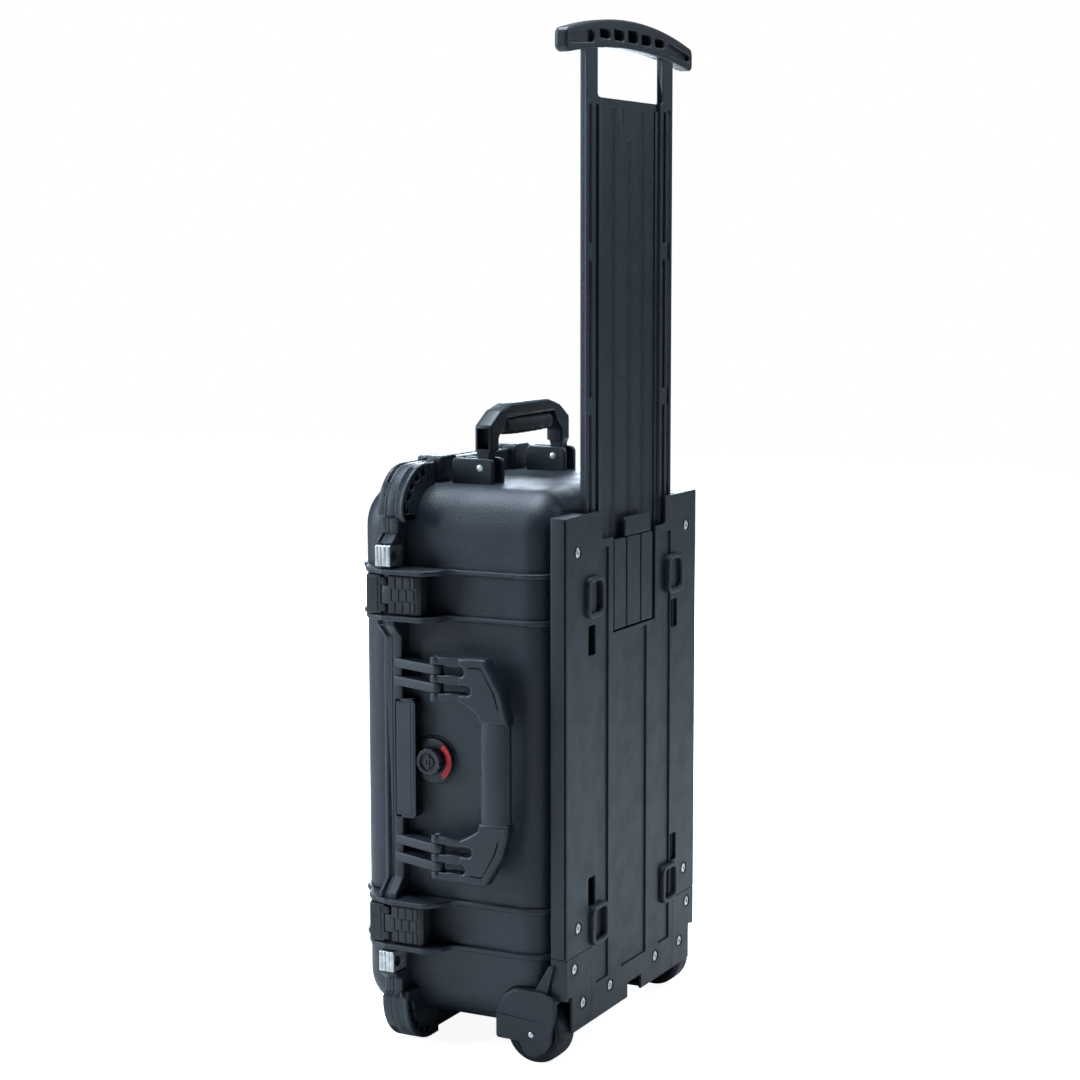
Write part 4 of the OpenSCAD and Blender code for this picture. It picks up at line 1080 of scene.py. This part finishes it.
def topFrameParts(h):
    # upright ring of the handle, cut by a pocket in each leg; tangs run down to the pins
    x0, x1 = h["x"] - h["halfX"], h["x"] + h["halfX"]
    right = [(49, 596, 2), (55, 586.5, 4), (66, 577.5, 5), (66.3, 565.3), (83, 565.3), (83, 590, 5),
             (62, 603, 12),
             (38, 609, 16)]
    outline = roundPath(right[3:] + [(-y, z, *r) for y, z, *r in reversed(right)] + right[:3], step=10)
    ringPart = slab("x", x0, x1, outline, low=2.6, high=2.6)
    pockets = bothSides([box(h["x"] - 6.2, h["x"] + 6.2, 72, 90, 567.5, 587, 0)])
    parts = [cutAway(ringPart, pockets)]
    tang = np.vstack([arc(h["x"], h["pivotZ"], h["barrel"], 180, 360, 16),
                      [[h["x"] + 6.5, 562], [h["x"] + 8.2, 567], [h["x"] - 8.2, 567], [h["x"] - 6.5, 562]]])
    hole = ring(h["x"], h["pivotZ"], 2.3, 20)
    return parts + bothSides([slab("y", *h["tang"], tang, [hole], 1.0, 1.0)])


def topGripParts(h):
    # rings along y hung under the bar, with slanted finger ridges on the underside
    zc, a, b = h["grip"]
    y = np.linspace(-47.8, 47.8, 121)
    ends = np.clip((47.8 - np.abs(y)) / 3, 0, 1)
    shrink = np.sqrt(1 - (1 - ends) ** 2)
    x, z = superRing(h["x"], zc, a * (0.82 + 0.18 * shrink), b * (0.80 + 0.20 * shrink), 2.8)
    under = np.clip((zc - z) / b, 0, 1)
    ridges = np.abs(np.cos(math.pi * (y[:, None] + 0.35 * (x - h["x"])) / 12)) ** 6
    z += under * (0.9 * ridges + 1.2 * (np.abs(y) / 48)[:, None] ** 3)
    return [carry(np.stack([x, np.broadcast_to(y[:, None], x.shape), z], -1))]


addPiece("topHandle", topFrameParts(topHandle), "handlePlastic", "top_handle", ["top_handle_frame"])
addPiece("topHandleGrip", topGripParts(topHandle), "gripRubber", "top_handle", ["top_handle_grip"])
addPiece("topHandlePins", pinParts("y", (topHandle["x"], topHandle["pivotZ"]),
                                   ((62.8, 89.2), (-89.2, -62.8)), 2.2),
         "screwSteel", "base", ["top_handle_pins"])
print("carry handles made")


# latches, padlock eyes, nameplate and valve
latch = {"pin": (-82.0, -159.0), "lever": (-67.2, -168.6), "wide": 36.0, "z": (437.0, 123.0), "face": -172.0}


def latchBodyParts(h, mid):
    # barrel arc joined to a stepped outline in x-y, extruded along z, with two forks and three pads
    z0, z1 = mid - h["wide"] / 2, mid + h["wide"] / 2
    back = arc(*h["pin"], 4.5, 20, 200, 12)
    front = roundPath([(-88.5, -164), (-86, -171, 2), (-83, -172, 1), (-69.5, -172, 1), (-69.5, -165.5),
                       (-77, -162)])
    shape = np.vstack([back, front])
    parts = [slab("z", z0, z1, shape, low=0.7, high=0.7)]
    for lo in (z0 + 2, z1 - 9):
        fork = np.vstack([arc(*h["lever"], 3.2, -90, 100, 12), [[-72, -165.6], [-72, -171.8]]])
        parts.append(slab("z", lo, lo + 7, fork, low=0.5, high=0.5))
    parts += [slab("y", -172.6, -171.5, roundBox(-85, -73, z0 + a, z0 + b, 1.0), low=0.5, high=0) for a, b in
              ((2, 11.4), (12.6, 23.4), (24.6, 34))]
    return parts


def latchLeverParts(h, mid):
    # finger plate with a claw behind and three rows of raised blocks, the middle row half a block along
    z0, z1 = mid - h["wide"] / 2, mid + h["wide"] / 2
    plate = roundPath([(-62.5, -165), (-62.5, -171, 1), (-32, -171, 2), (-28.5, -169, 2), (-27.5, -158, 1),
                       (-30, -158, 1), (-32, -165)])
    claw = roundPath([(-55, -166), (-50, -166), (-50, -151, 1), (-54.5, -151, 1), (-54.5, -155)])
    tongue = np.vstack([arc(*h["lever"], 3.2, 90, 250, 12), [[-59, -171.2], [-59, -165.8]]])
    parts = [slab("z", z0, z1, plate, low=0.8, high=0.8), slab("z", z0 + 4, z1 - 4, claw, low=0.5, high=0.5),
             slab("z", z0 + 9.6, z1 - 9.6, tongue, low=0.4, high=0.4)]
    for row in range(3):
        shift = 4 * (row % 2)
        for col in range(4):
            x0, x1 = -61.6 + 8 * col - shift, -54.4 + 8 * col - shift
            x0, x1 = max(x0, -61.6), min(x1, -33.6)
            low = z0 + 1.2 + 11.6 * row
            parts.append(slab("y", h["face"], -170.2, roundBox(x0, x1, low, low + 10.6, 1.3), low=0.7,
                              high=0))
    return parts


for word, mid in zip(("Upper", "Lower"), latch["z"]):
    stem = "latch_" + word.lower()
    addPiece("latchBody" + word, latchBodyParts(latch, mid), "latchPlastic", stem, [stem + "_body"])
    addPiece("latchLever" + word, latchLeverParts(latch, mid), "latchPlastic", stem + "_finger",
             [stem + "_lever"])

eye = {"y": -168.5, "z": (473.5, 86.5), "hole": 4.0}


def eyeParts(h, layers):
    # each eye is a stack of bevelled plates with a countersunk bore
    parts = []
    for z in h["z"]:
        loop = roundPath([(-153, z - 10), (-174.5, z - 10, 1.5), (-175.5, z - 9, 1), (-175.5, z + 10, 2),
                          (-153, z + 10)])
        parts += [slab("x", a, b, loop, [ring(h["y"], z, h["hole"] + 0.1, 32)], 0.6, 0.6) for a, b in layers]
    return parts


addPiece("padlockEyesBase", eyeParts(eye, ((-66.4, -62), (-62, -57.5))), "stainless", "base",
         ["padlock_eyes_base"])
addPiece("padlockEyesLid", eyeParts(eye, ((-73.5, -70), (-70, -66.6))), "stainless", "lid",
         ["padlock_eyes_lid"])
def boreShadeParts(h, spans):
    # a dark sleeve inside each bore with a thin collar at both ends: painted shade that darkens the bore wall
    # and puts a dark ring round its mouth
    parts = []
    for z in h["z"]:
        for lo, hi in spans:
            profile = [(3.9, lo + 0.2), (4.0, lo), (4.9, lo), (5.1, lo + 0.3), (5.1, lo + 0.5),
                       (4.05, lo + 0.6),
                       (4.05, hi - 0.6), (5.1, hi - 0.5), (5.1, hi - 0.3), (4.9, hi), (4.0, hi),
                       (3.9, hi - 0.2),
                       (3.9, lo + 0.2)]
            parts.append(lathe("x", (h["y"], z), profile, 28))
    return parts


# painted shade: dark sleeves make the padlock bores and their mouths look shadowed
addPiece("padlockBoreShadeBase", boreShadeParts(eye, ((-66.48, -57.2),)), "sealFoam", "base")
plateParts = [slab("y", -156.9, -155.8, roundBox(-63.4, -44.6, 226.1, 333.9, 2.2), low=0.5, high=0),
              slab("y", -157.3, -156.6, roundBox(-62.2, -47.6, 227.6, 332.4, 1.6), low=0.3, high=0)]
addPiece("namePlate", plateParts, "plateLabel", "base", ["nameplate"])

valve = {"centre": (-28.5, 279.0), "front": -144.0, "arc": (-54, 54), "ticks": 9}


def knobParts(v):
    # stepped profile turned about the valve's axis, radius less by twelve notches, and a raised bar
    f = v["front"]
    profile = [(0, f - 12.2), (2.6, f - 12.2), (3.0, f - 13.2), (5.0, f - 13.2), (5.4, f - 12), (8.4, f - 12),
               (9.0, f - 13.8), (9.6, f - 14), (11.8, f - 14), (12.8, f - 13.2), (13, f - 12.2),
               (13, f - 7.2),
               (12.6, f - 6.3), (5.9, f - 6.3), (5.9, f + 0.9), (0, f + 0.9)]

    def notches(radius, height, t):
        # twelve shallow finger notches round the rim
        dip = np.maximum(np.cos(12 * t), 0.6) - 0.6
        return np.where(radius > 11, radius - 2.0 * dip, radius)
    bar = roundBox(v["centre"][0] - 1.2, v["centre"][0] + 1.2, 272, 286, 1.1)
    return [lathe("y", v["centre"], profile, 96, notches), slab("y", f - 13.6, f - 12, bar, low=0.5, high=0)]


def ringParts(v):
    # a rounded bar swept along an arc, with fine raised ticks across it
    f = v["front"]
    a = np.radians(np.linspace(*v["arc"], 40))
    section = roundPath([(15.2, f - 5.2), (20.3, f - 5.2), (20.3, f - 6.2), (15.2, f - 6.2)], 0.35)
    r, h = section[:, 0], section[:, 1]
    cx, cz = v["centre"]
    heights = np.broadcast_to(h, (len(a), len(r)))
    body = np.stack([cx + np.cos(a)[:, None] * r, heights, cz + np.sin(a)[:, None] * r], -1)
    parts = [carry(body)]
    for t in np.radians(np.linspace(v["arc"][0] + 6, v["arc"][1] - 6, v["ticks"])):
        u, w = np.array([math.cos(t), math.sin(t)]), np.array([-math.sin(t), math.cos(t)])
        loop = [np.array([cx, cz]) + u * p + w * q for p,
                q in ((16.4, -0.3), (19.2, -0.3), (19.2, 0.3), (16.4, 0.3))]
        parts.append(slab("y", f - 6.5, f - 6.1, np.array(loop), low=0.1, high=0))
    return parts


addPiece("valveKnob", knobParts(valve), "latchPlastic", "valve_knob", ["valve_knob"])
addPiece("valveRing", ringParts(valve), "redPlastic", "base", ["valve_ring"])
print("latches, eyes, nameplate and valve made")


# the CAD nodes still shown: the finish each one carries, and the small round its edges get
nodeFinish = {
    "panelPlastic": (0.5, ["guide_rails"]),
    "handlePlastic": (1.2, ["wheel_hub_left", "wheel_hub_right"]),
    "latchPlastic": (0.4, ["valve_body", "valve_nut"]),
    "gripRubber": (0.8, ["trolley_bumpers"]),
    "sealFoam": (0.3, ["lid_seal", "valve_gasket", "valve_membrane"]),
    "stainless": (0.4, ["hinge_pins"]),
    "screwSteel": (0.25, ["grip_screws", "latch_pins", "latch_upper_lever_pin", "latch_lower_lever_pin"]),
    "bushMetal": (0.2, ["wheel_bushes_left", "wheel_bushes_right"]),
}


def softenNode(obj, width):
    # welded copy in the modifier stack, then a two-step round on every sharp edge
    weld = obj.modifiers.new("weld", "WELD")
    weld.merge_threshold = 0.000004
    bevel = obj.modifiers.new("round", "BEVEL")
    bevel.width, bevel.segments, bevel.limit_method, bevel.angle_limit = width * mm, 2, "ANGLE", math.radians(28)
    bevel.harden_normals, bevel.use_clamp_overlap = True, True
    obj.data.polygons.foreach_set("use_smooth", np.ones(len(obj.data.polygons), bool))


for finish, (width, names) in nodeFinish.items():
    for name in names:
        node = nodes[name]
        node.data.materials.clear()
        node.data.materials.append(mats[finish])
        softenNode(node, width)
print("CAD nodes finished")
